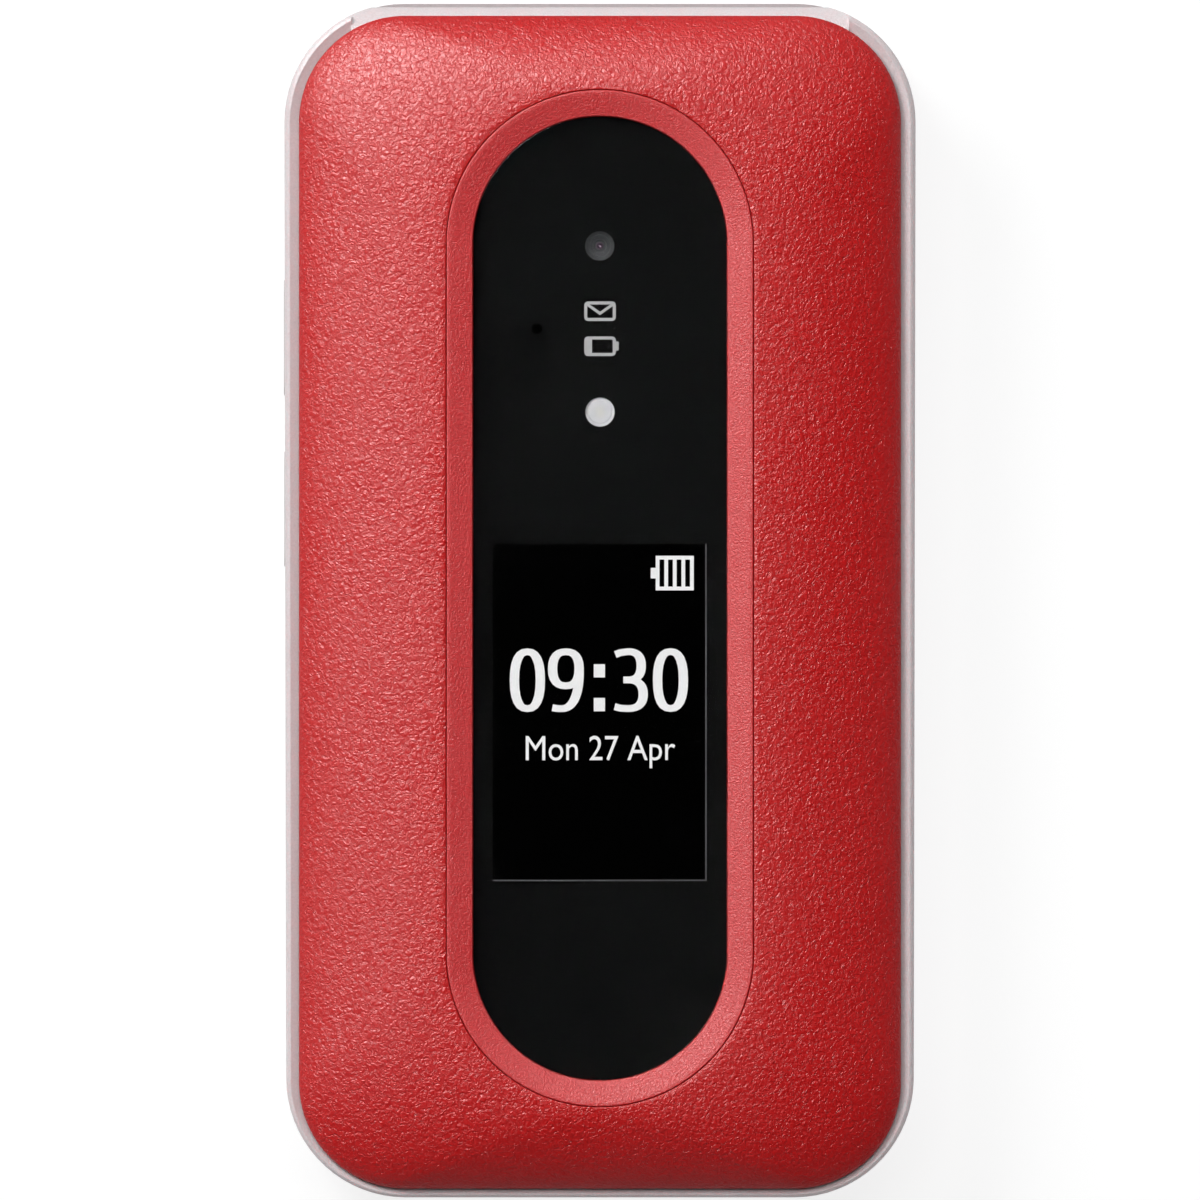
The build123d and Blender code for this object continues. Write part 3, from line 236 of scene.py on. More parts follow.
def cover_ring(share, thinner=0.0):
    """Ring of the cover, share of the way in from its rim, for a skin set that far inside."""
    inset = thinner * (1 - share)
    half = cover_high.x + share * (opening_x - cover_high.x) - inset
    top = cover_high.y + share * (opening_top - cover_high.y) - inset
    foot = cover_low.y + share * (opening_foot - cover_low.y) + inset
    corner = min(COVER_CORNER_R + share * (opening_x - COVER_CORNER_R) - inset, half)
    rise = (1 - (1 - share) ** COVER_FULLNESS) ** (1 / COVER_FULLNESS)
    z = COVER_RIM_Z + (crown_z - COVER_RIM_Z - thinner) * rise
    return outline(-half, half, foot, top, corner, z)


def opening_ring(inset, z):
    """Ring of the window opening, drawn in by an inset."""
    half = opening_x - inset
    return outline(-half, half, opening_foot + inset, opening_top - inset, half, z)


shares = [1 - math.cos(math.pi / 2 * n / COVER_RINGS) for n in range(COVER_RINGS + 1)]
foot_outside = [(x, y, COVER_FOOT_Z) for x, y, z in cover_ring(0)]
foot_inside = [(x, y, COVER_FOOT_Z) for x, y, z in cover_ring(0, COVER_WALL)]
outside = [foot_outside] + [cover_ring(share) for share in shares[:-1]]
outside += [opening_ring(-OPENING_EDGE, crown_z), opening_ring(-OPENING_EDGE / 3, crown_z - OPENING_EDGE / 3)]
inside = [foot_inside] + [cover_ring(share, COVER_WALL) for share in shares[:-1:4]]
SEAT_LIP = 3.3 * MM
SEAT_DEPTH = 0.6 * MM
seat = [opening_ring(0, crown_z - OPENING_EDGE), opening_ring(0, seat_z)]
seat += [opening_ring(SEAT_LIP, seat_z), opening_ring(SEAT_LIP, seat_z - SEAT_DEPTH)]
cover = skin("outer_cover_skin", outside + seat + list(reversed(inside)), closed=True)


def material(name):
    """New material with its tree, its shader and its object coordinates."""
    made = bpy.data.materials.new(name)
    made.use_nodes = True
    tree = made.node_tree
    tree.nodes.clear()
    shader = node(tree, "ShaderNodeBsdfPrincipled")
    node(tree, "ShaderNodeOutputMaterial", {"Surface": shader.outputs[0]})
    coords = node(tree, "ShaderNodeTexCoord").outputs["Object"]
    return made, tree, shader, coords


def effect(name, inputs, outputs):
    """Empty shader node group with its inputs and outputs, as lists of names and kinds."""
    group = bpy.data.node_groups.new(name, "ShaderNodeTree")
    for socket, kind in inputs:
        group.interface.new_socket(name=socket, in_out="INPUT", socket_type="NodeSocket" + kind)
    for socket, kind in outputs:
        group.interface.new_socket(name=socket, in_out="OUTPUT", socket_type="NodeSocket" + kind)
    return group, node(group, "NodeGroupInput").outputs, node(group, "NodeGroupOutput").inputs


def maths(tree, operation, first, second=0.0):
    """Result of one Math node."""
    return node(tree, "ShaderNodeMath", {0: first, 1: second}, operation=operation).outputs[0]


def vector_maths(tree, operation, first, second=(0, 0, 0)):
    """Result of one Vector Math node."""
    return node(tree, "ShaderNodeVectorMath", {0: first, 1: second}, operation=operation).outputs[0]


def apart(tree, value, centre):
    """How far a value is from a centre."""
    return maths(tree, "ABSOLUTE", maths(tree, "SUBTRACT", value, centre))


def scaled(tree, vector, factor):
    """Vector times a factor."""
    return node(tree, "ShaderNodeVectorMath", {0: vector, "Scale": factor}, operation="SCALE").outputs[0]


def spread(tree, value, low, high, start=0.0, end=1.0):
    """Value carried from low..high to start..end, and held there."""
    ranges = {0: value, 1: low, 2: high, 3: start, 4: end}
    return node(tree, "ShaderNodeMapRange", ranges).outputs[0]


def surface(tree, shader, **values):
    """Set the shader's sockets, named with _ for a space, to values or to nodes' sockets."""
    for name, value in values.items():
        socket = shader.inputs[name.replace("_", " ")]
        if isinstance(value, bpy.types.NodeSocket):
            tree.links.new(value, socket)
        else:
            socket.default_value = value


def emboss(tree, shader, height, distance, strength):
    """Relief of a height, as deep as the distance."""
    shape = {"Height": height, "Distance": distance, "Strength": strength}
    surface(tree, shader, Normal=node(tree, "ShaderNodeBump", shape).outputs[0])


def with_effect(tree, group, coords, fineness):
    """Outputs of an effect at a fineness, in repeats to the metre."""
    at = {"Vector": coords, "Fineness": fineness}
    return node(tree, "ShaderNodeGroup", at, node_tree=group).outputs


# Leather grain: small rounded pebbles drawn out into short wrinkles, with narrow creases
# between them.
leather, given, leather_out = effect(
    "leather_grain", [("Vector", "Vector"), ("Fineness", "Float")], [("Height", "Float"), ("Crease Shade", "Float")]
)
spot = scaled(leather, given["Vector"], given["Fineness"])
drift = vector_maths(leather, "SUBTRACT", noise(leather, spot, 0.6, 1.0, output="Color"), (0.5, 0.5, 0.5))
pulled = vector_maths(leather, "ADD", spot, scaled(leather, drift, 2.2))
cells = {"Vector": pulled, "Scale": 0.85, "Smoothness": 0.45}
pebble = node(leather, "ShaderNodeTexVoronoi", cells, feature="SMOOTH_F1").outputs["Distance"]
wrinkle = noise(leather, pulled, 0.95, 2.0, 0.55, 0.5)
crease_line = spread(leather, apart(leather, noise(leather, pulled, 0.7, 1.0), 0.5), 0.0, 0.05, 1.0, 0.0)
rounded_part = maths(leather, "MULTIPLY", spread(leather, pebble, 0.05, 0.8, 1.0, 0.0), 0.5)
folded_part = maths(leather, "MULTIPLY", spread(leather, wrinkle, 0.3, 0.7), 0.5)
soft_height = maths(leather, "ADD", rounded_part, folded_part)
fine = maths(leather, "MULTIPLY", noise(leather, spot, 3.5, 2.0), 0.16)
creased = maths(leather, "SUBTRACT", soft_height, maths(leather, "MULTIPLY", crease_line, 0.22))
leather.links.new(maths(leather, "ADD", creased, fine), leather_out["Height"])
# low ground between the pebbles, where the red materials paint shade into the creases
leather.links.new(spread(leather, creased, 0.2, 0.6, 1.0, 0.0), leather_out["Crease Shade"])

# the deeper red below is painted shade, laid into the creases of the grain
RED = (0.58, 0.0045, 0.0055, 1)
RED_CREASE_SHADE = (0.53, 0.0035, 0.0045, 1)
PEBBLE_SIZE = 0.33 * MM
PEBBLE_DEPTH = 0.09 * MM
SPECK_SIZE = 0.2 * MM
CLOUDS = 60.0  # to the metre
leather_red, tree, shader, coords = material("leather_grained_red")
grain = with_effect(tree, leather, coords, 1 / PEBBLE_SIZE)
speck = noise(tree, coords, 1 / SPECK_SIZE)
worn = maths(tree, "ADD", speck, noise(tree, coords, CLOUDS))
relief = maths(tree, "ADD", grain["Height"], maths(tree, "MULTIPLY", speck, 0.10))
emboss(tree, shader, relief, PEBBLE_DEPTH, 1.0)
surface(
    tree, shader, Base_Color=blend(tree, grain["Crease Shade"], RED, RED_CREASE_SHADE),
    Roughness=spread(tree, worn, 0.7, 1.3, 0.38, 0.50), Specular_IOR_Level=0.65,
)


def dress(piece, finish, body, slot, *nodes):
    """Give a piece its material, its body and the CAD nodes that it stands for. The slot is not used."""
    piece.data.materials.clear()
    piece.data.materials.append(finish)
    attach(piece, body)
    if nodes:
        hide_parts(*nodes)


def finish_node(name, finish):
    """Give a CAD node its material."""
    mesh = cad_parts[name].data
    mesh.materials.clear()
    mesh.materials.append(finish)


dress(cover, leather_red, "lid", "red_plastic", "outer_cover")


# Window surround ------------
# Red ring with a finer grain, pressed into the cover's opening. Its face slopes down to
# the glass, its outer edge is rounded and a lip under the glass carries it.
SURROUND_RIM = 2.35 * MM
SURROUND_LIP = 1.0 * MM
SURROUND_LIP_T = 0.5 * MM
SURROUND_EDGE_R = 0.12 * MM
SURROUND_SLOPE_RINGS = 6
SURROUND_STEP = 0.1 * MM  # from the foot of the slope down to the glass
glass_low, glass_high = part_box("window_lens")
slope_foot_z = glass_high.z + SURROUND_STEP


def edge_round(inset, z, radius, steps=5):
    """Profile points of an outer edge rounded from its wall in to its top."""
    turns = [math.pi / 2 * n / steps for n in range(steps + 1)]
    return [(inset + radius * (1 - math.cos(turn)), z - radius * (1 - math.sin(turn))) for turn in turns]


profile = [(RING_GAP, seat_z)] + edge_round(RING_GAP, crown_z, SURROUND_EDGE_R)
slope_start = profile[-1]
for n in range(1, SURROUND_SLOPE_RINGS + 1):
    part = n / SURROUND_SLOPE_RINGS
    profile.append((
        slope_start[0] + part * (SURROUND_RIM - slope_start[0]),
        slope_start[1] + part * (slope_foot_z - slope_start[1]),
    ))
profile += [
    (SURROUND_RIM, seat_z + SURROUND_LIP_T),
    (SURROUND_RIM + SURROUND_LIP, seat_z + SURROUND_LIP_T),
    (SURROUND_RIM + SURROUND_LIP, seat_z),
]
surround = skin("window_surround_ring", [opening_ring(inset, z) for inset, z in profile], closed=True)
# the deeper red below is painted shade, laid into the creases of the finer grain
RING_RED = (0.67, 0.024, 0.028, 1)
RING_CREASE_SHADE = (0.56, 0.015, 0.018, 1)
RING_PEBBLE_SIZE = 0.17 * MM
RING_PEBBLE_DEPTH = 0.05 * MM
fine_red, tree, shader, coords = material("fine_grained_red")
grain = with_effect(tree, leather, coords, 1 / RING_PEBBLE_SIZE)
emboss(tree, shader, grain["Height"], RING_PEBBLE_DEPTH, 1.0)
surface(
    tree, shader, Base_Color=blend(tree, grain["Crease Shade"], RING_RED, RING_CREASE_SHADE),
    Roughness=spread(tree, grain["Height"], 0.2, 0.9, 0.56, 0.44), Specular_IOR_Level=0.75,
)
dress(surround, fine_red, "lid", "red_plastic", "window_surround")


# Window lens ------------
# Clear hard-coated sheet bonded into the surround, flush and flat, with a small hole
# through it for the microphone.
LENS_INSET = 2.45 * MM
LENS_EDGE_R = 0.1 * MM
MIC_PLACE = Vector((-5.7, 24.5)) * MM
MIC_R = 0.5 * MM
SMEARS = 45.0  # to the metre
profile = [(LENS_INSET, glass_low.z)] + edge_round(LENS_INSET, glass_high.z, LENS_EDGE_R)
lens = skin("window_lens_sheet", [opening_ring(inset, z) for inset, z in profile])


def cut(piece, cutters):
    """Cut other pieces out of one, and delete them."""
    for cutter in cutters:
        pick(piece)
        tool = piece.modifiers.new("cut", "BOOLEAN")
        tool.object = cutter
        tool.operation = "DIFFERENCE"
        tool.solver = "EXACT"
        bpy.ops.object.modifier_apply(modifier=tool.name)
        bpy.data.objects.remove(cutter)
    smooth(piece)


def round_bar(x, y, radius, low_z, high_z, vertices=48):
    """Upright cylinder, its place in its mesh."""
    pick()
    size = {"vertices": vertices, "radius": radius, "depth": high_z - low_z}
    bpy.ops.mesh.primitive_cylinder_add(**size, location=(x, y, (low_z + high_z) / 2))
    bpy.ops.object.transform_apply(location=True)
    return bpy.context.object


cut(lens, [round_bar(*MIC_PLACE, MIC_R, glass_low.z - MM, glass_high.z + MM)])
clear_sheet, tree, shader, coords = material("hard_coated_clear_sheet")
smear = noise(tree, coords, SMEARS, 3.0, distortion=0.8)
emboss(tree, shader, smear, 0.004 * MM, 0.4)
surface(
    tree, shader, Base_Color=blend(tree, smear, (0.95, 0.95, 0.95, 1), (0.99, 0.99, 0.99, 1)),
    Roughness=spread(tree, smear, 0.35, 0.75, 0.012, 0.045), Transmission_Weight=1.0, IOR=1.40,
)
dress(lens, clear_sheet, "lid", "black_window", "window_lens")


# Print behind the lens ------------
# Black screen print on the underside of the sheet, left open over the camera, the flash
# and the display. A soft black cup lines the microphone's hole in the sheet; its glossless near-black is
# painted shade.
PRINT_T = 0.06 * MM
PRINT_GAP = 0.01 * MM
CAMERA_PLACE = Vector((-0.03, 31.95)) * MM
FLASH_PLACE = Vector((0.0, 16.96)) * MM
PORTHOLE_R = 1.32 * MM  # openings in the print for the camera and the flash
SCREEN = (-9.67 * MM, 9.6 * MM, -25.36 * MM, 5.06 * MM)  # left, right, low and high edge
print_top = glass_low.z - PRINT_GAP
print_low = print_top - PRINT_T
mask = skin("window_print", [opening_ring(LENS_INSET, z) for z in (print_low, print_top)])


def cube(low, high):
    """Block between two corners, its place in its mesh."""
    pick()
    low, high = Vector(low), Vector(high)
    bpy.ops.mesh.primitive_cube_add(size=1, location=(low + high) / 2)
    bpy.context.object.scale = high - low
    bpy.ops.object.transform_apply(location=True, scale=True)
    return bpy.context.object


def turned(name, x, y, profile, steps=64):
    """Piece turned about an upright axis, from pairs of radius and height."""
    ways = [(math.cos(math.tau * n / steps), math.sin(math.tau * n / steps)) for n in range(steps)]
    return skin(name, [[(x + r * across, y + r * up, z) for across, up in ways] for r, z in profile])


def grained(name, grain_size, detail, tones, gloss, specular):
    """Plain finish of two near tones, finely mottled: its material."""
    made, tree, shader, coords = material(name)
    mottle = noise(tree, coords, 1 / grain_size, detail)
    light, deep = [(tone, tone, tone, 1) for tone in tones]
    surface(
        tree, shader, Base_Color=blend(tree, mottle, light, deep),
        Roughness=spread(tree, mottle, 0.3, 0.7, *gloss), Specular_IOR_Level=specular,
    )
    return made


left, right, low, high = SCREEN
screen_hole = cube((left, low, print_low - MM / 2), (right, high, print_low + MM / 2))
reach = (PORTHOLE_R, print_low - MM, print_top + MM)
cut(mask, [round_bar(*CAMERA_PLACE, *reach), round_bar(*FLASH_PLACE, *reach), screen_hole])
print_black = grained("black_screen_print", 0.4 * MM, 3.0, (0.0026, 0.0031), (0.55, 0.7), 0.1)
dress(mask, print_black, "lid", "black_window")
CUP_GAP = 0.01 * MM
CUP_WALL = 0.05 * MM
outer, inner = MIC_R - CUP_GAP, MIC_R - CUP_GAP - CUP_WALL
low, high = print_top + CUP_GAP / 2, glass_high.z - CUP_GAP
cup_profile = [(outer, low), (outer, high), (inner, high), (inner, low + CUP_WALL)]
cup = turned("microphone_cup", *MIC_PLACE, cup_profile, steps=40)
# the cup's glossless near-black is painted shade in the microphone's hole; its walls also cast real shade
mic_hole_shade_black = grained("painted_shade_black_cup", 0.1 * MM, 2.0, (0.0002, 0.0005), (0.85, 1.0), 0.0)
dress(cup, mic_hole_shade_black, "lid", "black_window")


# Window icons ------------
# Envelope and battery, printed in grey beside the camera, their grey shown by a glow that
# is painted light: they light up for a message and for a low battery.
STROKE = 0.27 * MM
ICON_T = 0.004 * MM
SHARPEST_MITRE = 0.4


def stroke(points, width, closed=False):
    """Ribbon of four-sided faces along a line, mitred where it turns."""
    count = len(points)
    left, right = [], []
    for index, point in enumerate(points):
        before = points[index - 1] if index or closed else None
        after = points[(index + 1) % count] if index + 1 < count or closed else None
        ways = []
        if before is not None:
            ways.append((point - before).normalized())
        if after is not None:
            ways.append((after - point).normalized())
        way = sum(ways, Vector((0, 0))).normalized()
        reach = width / 2 / max(SHARPEST_MITRE, abs(way.dot(ways[0])))
        left.append(point + Vector((-way.y, way.x)) * reach)
        right.append(point - Vector((-way.y, way.x)) * reach)
    quads = []
    for index in range(count if closed else count - 1):
        after = (index + 1) % count
        quads.append([left[index], right[index], right[after], left[after]])
    return quads


def block(low_x, high_x, low_y, high_y):
    """Four-sided face between two corners."""
    return [Vector(corner) for corner in ((low_x, low_y), (high_x, low_y), (high_x, high_y), (low_x, high_y))]


def arc(x, y, radius, start, end, steps=12):
    """Points along an arc, from one angle to another in degrees."""
    angles = [math.radians(start + (end - start) * n / steps) for n in range(steps + 1)]
    return [Vector((x + radius * math.cos(a), y + radius * math.sin(a))) for a in angles]


def rounded(low_x, high_x, low_y, high_y, corner, steps=4):
    """Points round a rounded rectangle."""
    left, right, low, high = low_x + corner, high_x - corner, low_y + corner, high_y - corner
    points = []
    for turn, (x, y) in enumerate(((right, high), (left, high), (left, low), (right, low))):
        points += arc(x, y, corner, 90 * turn, 90 * (turn + 1), steps)
    return points


def printed(name, shapes, z, thickness, faces_down=False):
    """Thin flat piece made of outlines, standing on z, or hanging from it face down."""
    grown = bmesh.new()
    turn = -1 if faces_down else 1
    for shape in shapes:
        low = [grown.verts.new((p.x, turn * p.y, z)) for p in shape]
        high = [grown.verts.new((p.x, turn * p.y, z + turn * thickness)) for p in shape]
        grown.faces.new(high)
        grown.faces.new(list(reversed(low)))
        for index in range(len(shape)):
            after = (index + 1) % len(shape)
            grown.faces.new((low[index], low[after], high[after], high[index]))
    bmesh.ops.recalc_face_normals(grown, faces=grown.faces)
    mesh = bpy.data.meshes.new(name)
    grown.to_mesh(mesh)
    grown.free()
    piece = bpy.data.objects.new(name, mesh)
    bpy.context.scene.collection.objects.link(piece)
    return piece


def glowing(name, colour):
    """Lit print or pixels: its own light, finely uneven. On print and on the display glass's edge this glow
    is painted light.
    """
    made, tree, shader, coords = material(name)
    uneven = noise(tree, coords, 1 / (0.25 * MM), 1.0)
    dimmer = [part * 0.94 for part in colour]
    surface(
        tree, shader, Base_Color=blend(tree, uneven, (0.05, 0.05, 0.05, 1), (0.07, 0.07, 0.07, 1)),
        Emission_Color=blend(tree, uneven, (*dimmer, 1), (*colour, 1)), Emission_Strength=1.0, Roughness=0.5,
    )
    return made


# envelope: half width, low and high edge, and the point of its flap
ENVELOPE = (1.42 * MM, 25.18 * MM, 26.94 * MM)
ENVELOPE_POINT = 25.86 * MM
ENVELOPE_CORNER = 0.22 * MM
half, low, high = ENVELOPE
in_by = STROKE / 2
frame_line = rounded(-half + in_by, half - in_by, low + in_by, high - in_by, ENVELOPE_CORNER)
flap_x, flap_y = half - STROKE, high - STROKE
flap_line = [Vector((-flap_x, flap_y)), Vector((0, ENVELOPE_POINT)), Vector((flap_x, flap_y))]
envelope_shapes = stroke(frame_line, STROKE, True) + stroke(flap_line, STROKE * 0.9)
envelope = printed("message_icon", envelope_shapes, glass_low.z - PRINT_GAP, ICON_T)
# the icons' grey is a glow of their own: painted light on their print
icon_glow_grey = glowing("icon_print_painted_glow", (0.40, 0.40, 0.40))
dress(envelope, icon_glow_grey, "lid", "black_window")

# battery: half width, low and high edge, right edge of its charge, and the right, low and
# high edge of its stud
CELL = (1.42 * MM, 22.02 * MM, 23.78 * MM)
CELL_FULL = -0.72 * MM
CELL_STUD = (1.68 * MM, 22.51 * MM, 23.32 * MM)
half, low, high = CELL
frame_line = rounded(-half + in_by, half - in_by, low + in_by, high - in_by, ENVELOPE_CORNER)
cell_shapes = stroke(frame_line, STROKE, True)
cell_shapes.append(block(-half + in_by, CELL_FULL, low + in_by, high - in_by))
cell_shapes.append(block(half - in_by / 2, *CELL_STUD))
low_cell = printed("low_battery_icon", cell_shapes, glass_low.z - PRINT_GAP, ICON_T)
dress(low_cell, icon_glow_grey, "lid", "black_window")


# Outer display ------------
# Small display behind the sheet, black where nothing shows, its polished glass edge lit
# by a painted reflection along two sides. It shows the time, the date and how full the battery is.
PIXEL_T = 0.012 * MM
PIXEL_LIFT = 0.008 * MM
HAZE_SIZE = MM / 0.3
pixel_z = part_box("outer_display")[1].z + PIXEL_LIFT
display_black = grained("display_glass_black", HAZE_SIZE, 2.0, (0.0002, 0.0005), (0.25, 0.4), 0.0)
finish_node("outer_display", display_black)


def flat_text(name, text):
    """Text in the built-in font as a flat mesh, its letters about one unit high."""
    pick()
    bpy.ops.object.text_add()
    words = bpy.context.object
    words.name = name
    words.data.body = text
    words.data.resolution_u = 4
    bpy.ops.object.convert(target="MESH")
    return bpy.context.object


def raised(words, z, thickness, faces_down):
    """Flat text given a thickness and set on z, or hung from it face down."""
    shape = bmesh.new()
    shape.from_mesh(words.data)
    bmesh.ops.remove_doubles(shape, verts=shape.verts, dist=1e-7)
    shape.to_mesh(words.data)
    shape.free()
    low = [(vertex.co.x, vertex.co.y, 0) for vertex in words.data.vertices]
    high = [(x, y, thickness) for x, y, foot in low]
    count = len(low)
    faces, open_edges = [], {}
    for face in words.data.polygons:
        loop = list(face.vertices)
        faces += [loop[::-1], [corner + count for corner in loop]]
        for edge in zip(loop, loop[1:] + loop[:1]):
            if open_edges.pop(edge[::-1], None) is None:
                open_edges[edge] = True
    faces += [[here, after, after + count, here + count] for here, after in open_edges]
    words.data.clear_geometry()
    words.data.from_pydata(low + high, [], faces)
    turn = Matrix.Rotation(math.pi, 4, "X") if faces_down else Matrix.Identity(4)
    words.data.transform(Matrix.Translation((0, 0, z)) @ turn)
    return words


def lettering(name, text, box, z, thickness, faces_down=False):
    """Text stretched to fill a box: left, right, low and high edge."""
    words = flat_text(name, text)
    spots = [vertex.co for vertex in words.data.vertices]
    low = Vector((min(p.x for p in spots), min(p.y for p in spots)))
    high = Vector((max(p.x for p in spots), max(p.y for p in spots)))
    left, right, foot, top = box
    for vertex in words.data.vertices:
        x = left + (vertex.co.x - low.x) / (high.x - low.x) * (right - left)
        y = foot + (vertex.co.y - low.y) / (high.y - low.y) * (top - foot)
        vertex.co = Vector((x, y, 0))
    return raised(words, z, thickness, faces_down)


def placed(shapes, x, y, size=1.0, turn=0):
    """Outlines scaled, turned by an angle in degrees and moved."""
    spin = Matrix.Rotation(math.radians(turn), 2)
    return [[spin @ spot * size + Vector((x, y)) for spot in shape] for shape in shapes]


UPRIGHT_STROKE = 0.84  # in millimetres
LEVEL_STROKE = 0.61
FULLNESS = 2.4  # exponent of the superellipse that the digits' bows follow


def bow(x, y, across, up, start=90, end=-90, steps=24):
    """Points along a superellipse, from one angle to another in degrees."""
    points = []
    for n in range(steps + 1):
        angle = math.radians(start + (end - start) * n / steps)
        level, upright = [
            math.copysign(abs(part) ** (2 / FULLNESS), part) for part in (math.cos(angle), math.sin(angle))
        ]
        points.append(Vector((x + across * level, y + up * upright)))
    return points


def penned(points, closed=False):
    """Ribbon along a line whose upright parts are heavier than its level parts."""
    count = len(points)
    sides = []
    for index, point in enumerate(points):
        before = points[index - 1] if index or closed else point
        after = points[(index + 1) % count] if index + 1 < count or closed else point
        way = (after - before).normalized()
        reach = math.hypot(way.x * LEVEL_STROKE, way.y * UPRIGHT_STROKE) / 2
        across = Vector((-way.y, way.x)) * reach
        sides.append((point + across, point - across))
    pairs = zip(sides, sides[1:] + sides[:1]) if closed else zip(sides, sides[1:])
    return [[left, right, next_right, next_left] for (left, right), (next_left, next_right) in pairs]


# clock: digits drawn in millimetres from the middle of their upper edge, and square dots
CLOCK_TOP = -4.35
ZERO = penned(bow(0, -2.885, 1.165, 2.57, 0, 360)[:-1], True)
NINE_TAIL = [Vector((-0.85, -5.43)), Vector((-1.22, -5.36))]
NINE = penned(bow(0, -1.855, 1.20, 1.54, 0, 360)[:-1], True)
NINE += penned(bow(-0.45, -2.0, 1.65, 3.455, 0, -90) + NINE_TAIL)
THREE_HEAD = [Vector((-1.42, -0.58)), Vector((-0.95, -0.40))]
THREE_WAIST = [Vector((-0.70, -2.865))]
THREE_TAIL = [Vector((-0.95, -5.42)), Vector((-1.48, -5.28))]
THREE = penned(THREE_HEAD + bow(-0.25, -1.59, 1.16, 1.275) + THREE_WAIST)
THREE += penned(bow(-0.3, -4.16, 1.39, 1.295) + THREE_TAIL)
CLOCK_FACE = ((ZERO, -6.545), (NINE, -3.08), (THREE, 2.80), (ZERO, 6.35))
COLON_SIDES = (-0.56, 0.45)
COLON_DOTS = ((-6.99, -5.80), (-10.04, -8.84))
clock_shapes = placed([block(*COLON_SIDES, *ends) for ends in COLON_DOTS], 0, 0, MM)
for figure, x in reversed(CLOCK_FACE):
    clock_shapes = placed(figure, x * MM, CLOCK_TOP * MM, MM) + clock_shapes
pixel_white = glowing("lit_pixels_white", (0.86, 0.86, 0.86))
dress(printed("clock_digits", clock_shapes, pixel_z, PIXEL_T), pixel_white, "lid", "display")
DATE_BOX = (-6.69 * MM, 6.78 * MM, -15.19 * MM, -12.25 * MM)  # left, right, low and high edge
dress(lettering("date_line", "Mon 27 Apr", DATE_BOX, pixel_z, PIXEL_T), pixel_white, "lid", "display")
# how full the battery is: the frame's edges, and the left, low and high edge of its stud
GAUGE = (5.02 * MM, 8.45 * MM, 0.86 * MM, 3.98 * MM)
GAUGE_STUD = (4.57 * MM, 1.94 * MM, 2.89 * MM)
GAUGE_BARS = 5
GAUGE_BAR_W = 0.34 * MM
left, right, low, high = GAUGE
gauge_shapes = [block(left, right, high - GAUGE_BAR_W, high), block(left, right, low, low + GAUGE_BAR_W)]
gauge_shapes.append(block(GAUGE_STUD[0], left, *GAUGE_STUD[1:]))
for bar in range(GAUGE_BARS):
    x = left + bar * (right - left - GAUGE_BAR_W) / (GAUGE_BARS - 1)
    gauge_shapes.append(block(x, x + GAUGE_BAR_W, low, high))
dress(printed("battery_gauge", gauge_shapes, pixel_z, PIXEL_T), pixel_white, "lid", "display")
# painted reflection on the polished edge of the display's glass, along its right side and its foot
EDGE_LINE = 0.10 * MM
left, right, low, high = SCREEN
edge_shapes = [block(right - EDGE_LINE, right, low, high)]
edge_shapes.append(block(left, right - EDGE_LINE, low, low + EDGE_LINE))
edge_glint_glow = glowing("display_edge_painted_glint", (0.085, 0.085, 0.09))
dress(printed("display_glass_edge", edge_shapes, pixel_z, PIXEL_T), edge_glint_glow, "lid", "display")


# Camera ------------
# Small black module on the lid's board. Its barrel comes up to the sheet and is turned
# down in steps to a tiny lens with a purple coating.
CAMERA_BODY_T = 1.8 * MM
CAMERA_BARREL_R = 2.4 * MM
CAMERA_EDGE = 0.15 * MM
# radius and how far below the top, in millimetres
CAMERA_STEPS = [(1.50, 0), (1.36, 0.12), (1.02, 0.16), (0.98, 0.30), (0.62, 0.36), (0.58, 0.50), (0.38, 0.54)]
TURNING_PITCH = 0.16 * MM
PUPIL_R = 0.36 * MM
PUPIL_SINK = 0.56 * MM
PUPIL_RISE = 0.4 * PUPIL_R
camera_low, camera_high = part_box("camera_module")
camera_x, camera_y = CAMERA_PLACE


def bevelled_block(name, low, high, edge):
    """Block between two corners with its edges rounded off."""
    piece = cube(low, high)
    piece.name = name
    bpy.ops.object.mode_set(mode="EDIT")
    bpy.ops.mesh.select_all(action="SELECT")
    bpy.ops.mesh.bevel(offset=edge, segments=3, affect="EDGES")
    bpy.ops.object.mode_set(mode="OBJECT")
    smooth(piece)
    return piece


def joined(name, pieces):
    """Several pieces made one."""
    pick(*pieces)
    bpy.ops.object.join()
    pieces[0].name = name
    return pieces[0]


def off_axis(tree, coords, x, y):
    """Distance of a point from an upright axis."""
    level = vector_maths(tree, "MULTIPLY", vector_maths(tree, "SUBTRACT", coords, (x, y, 0)), (1, 1, 0))
    return node(tree, "ShaderNodeVectorMath", {0: level}, operation="LENGTH").outputs["Value"]


def wave(tree, value, rate, kind="SINE"):
    """Sine or cosine of a value at a rate, in radians to its unit."""
    return maths(tree, kind, maths(tree, "MULTIPLY", value, rate))


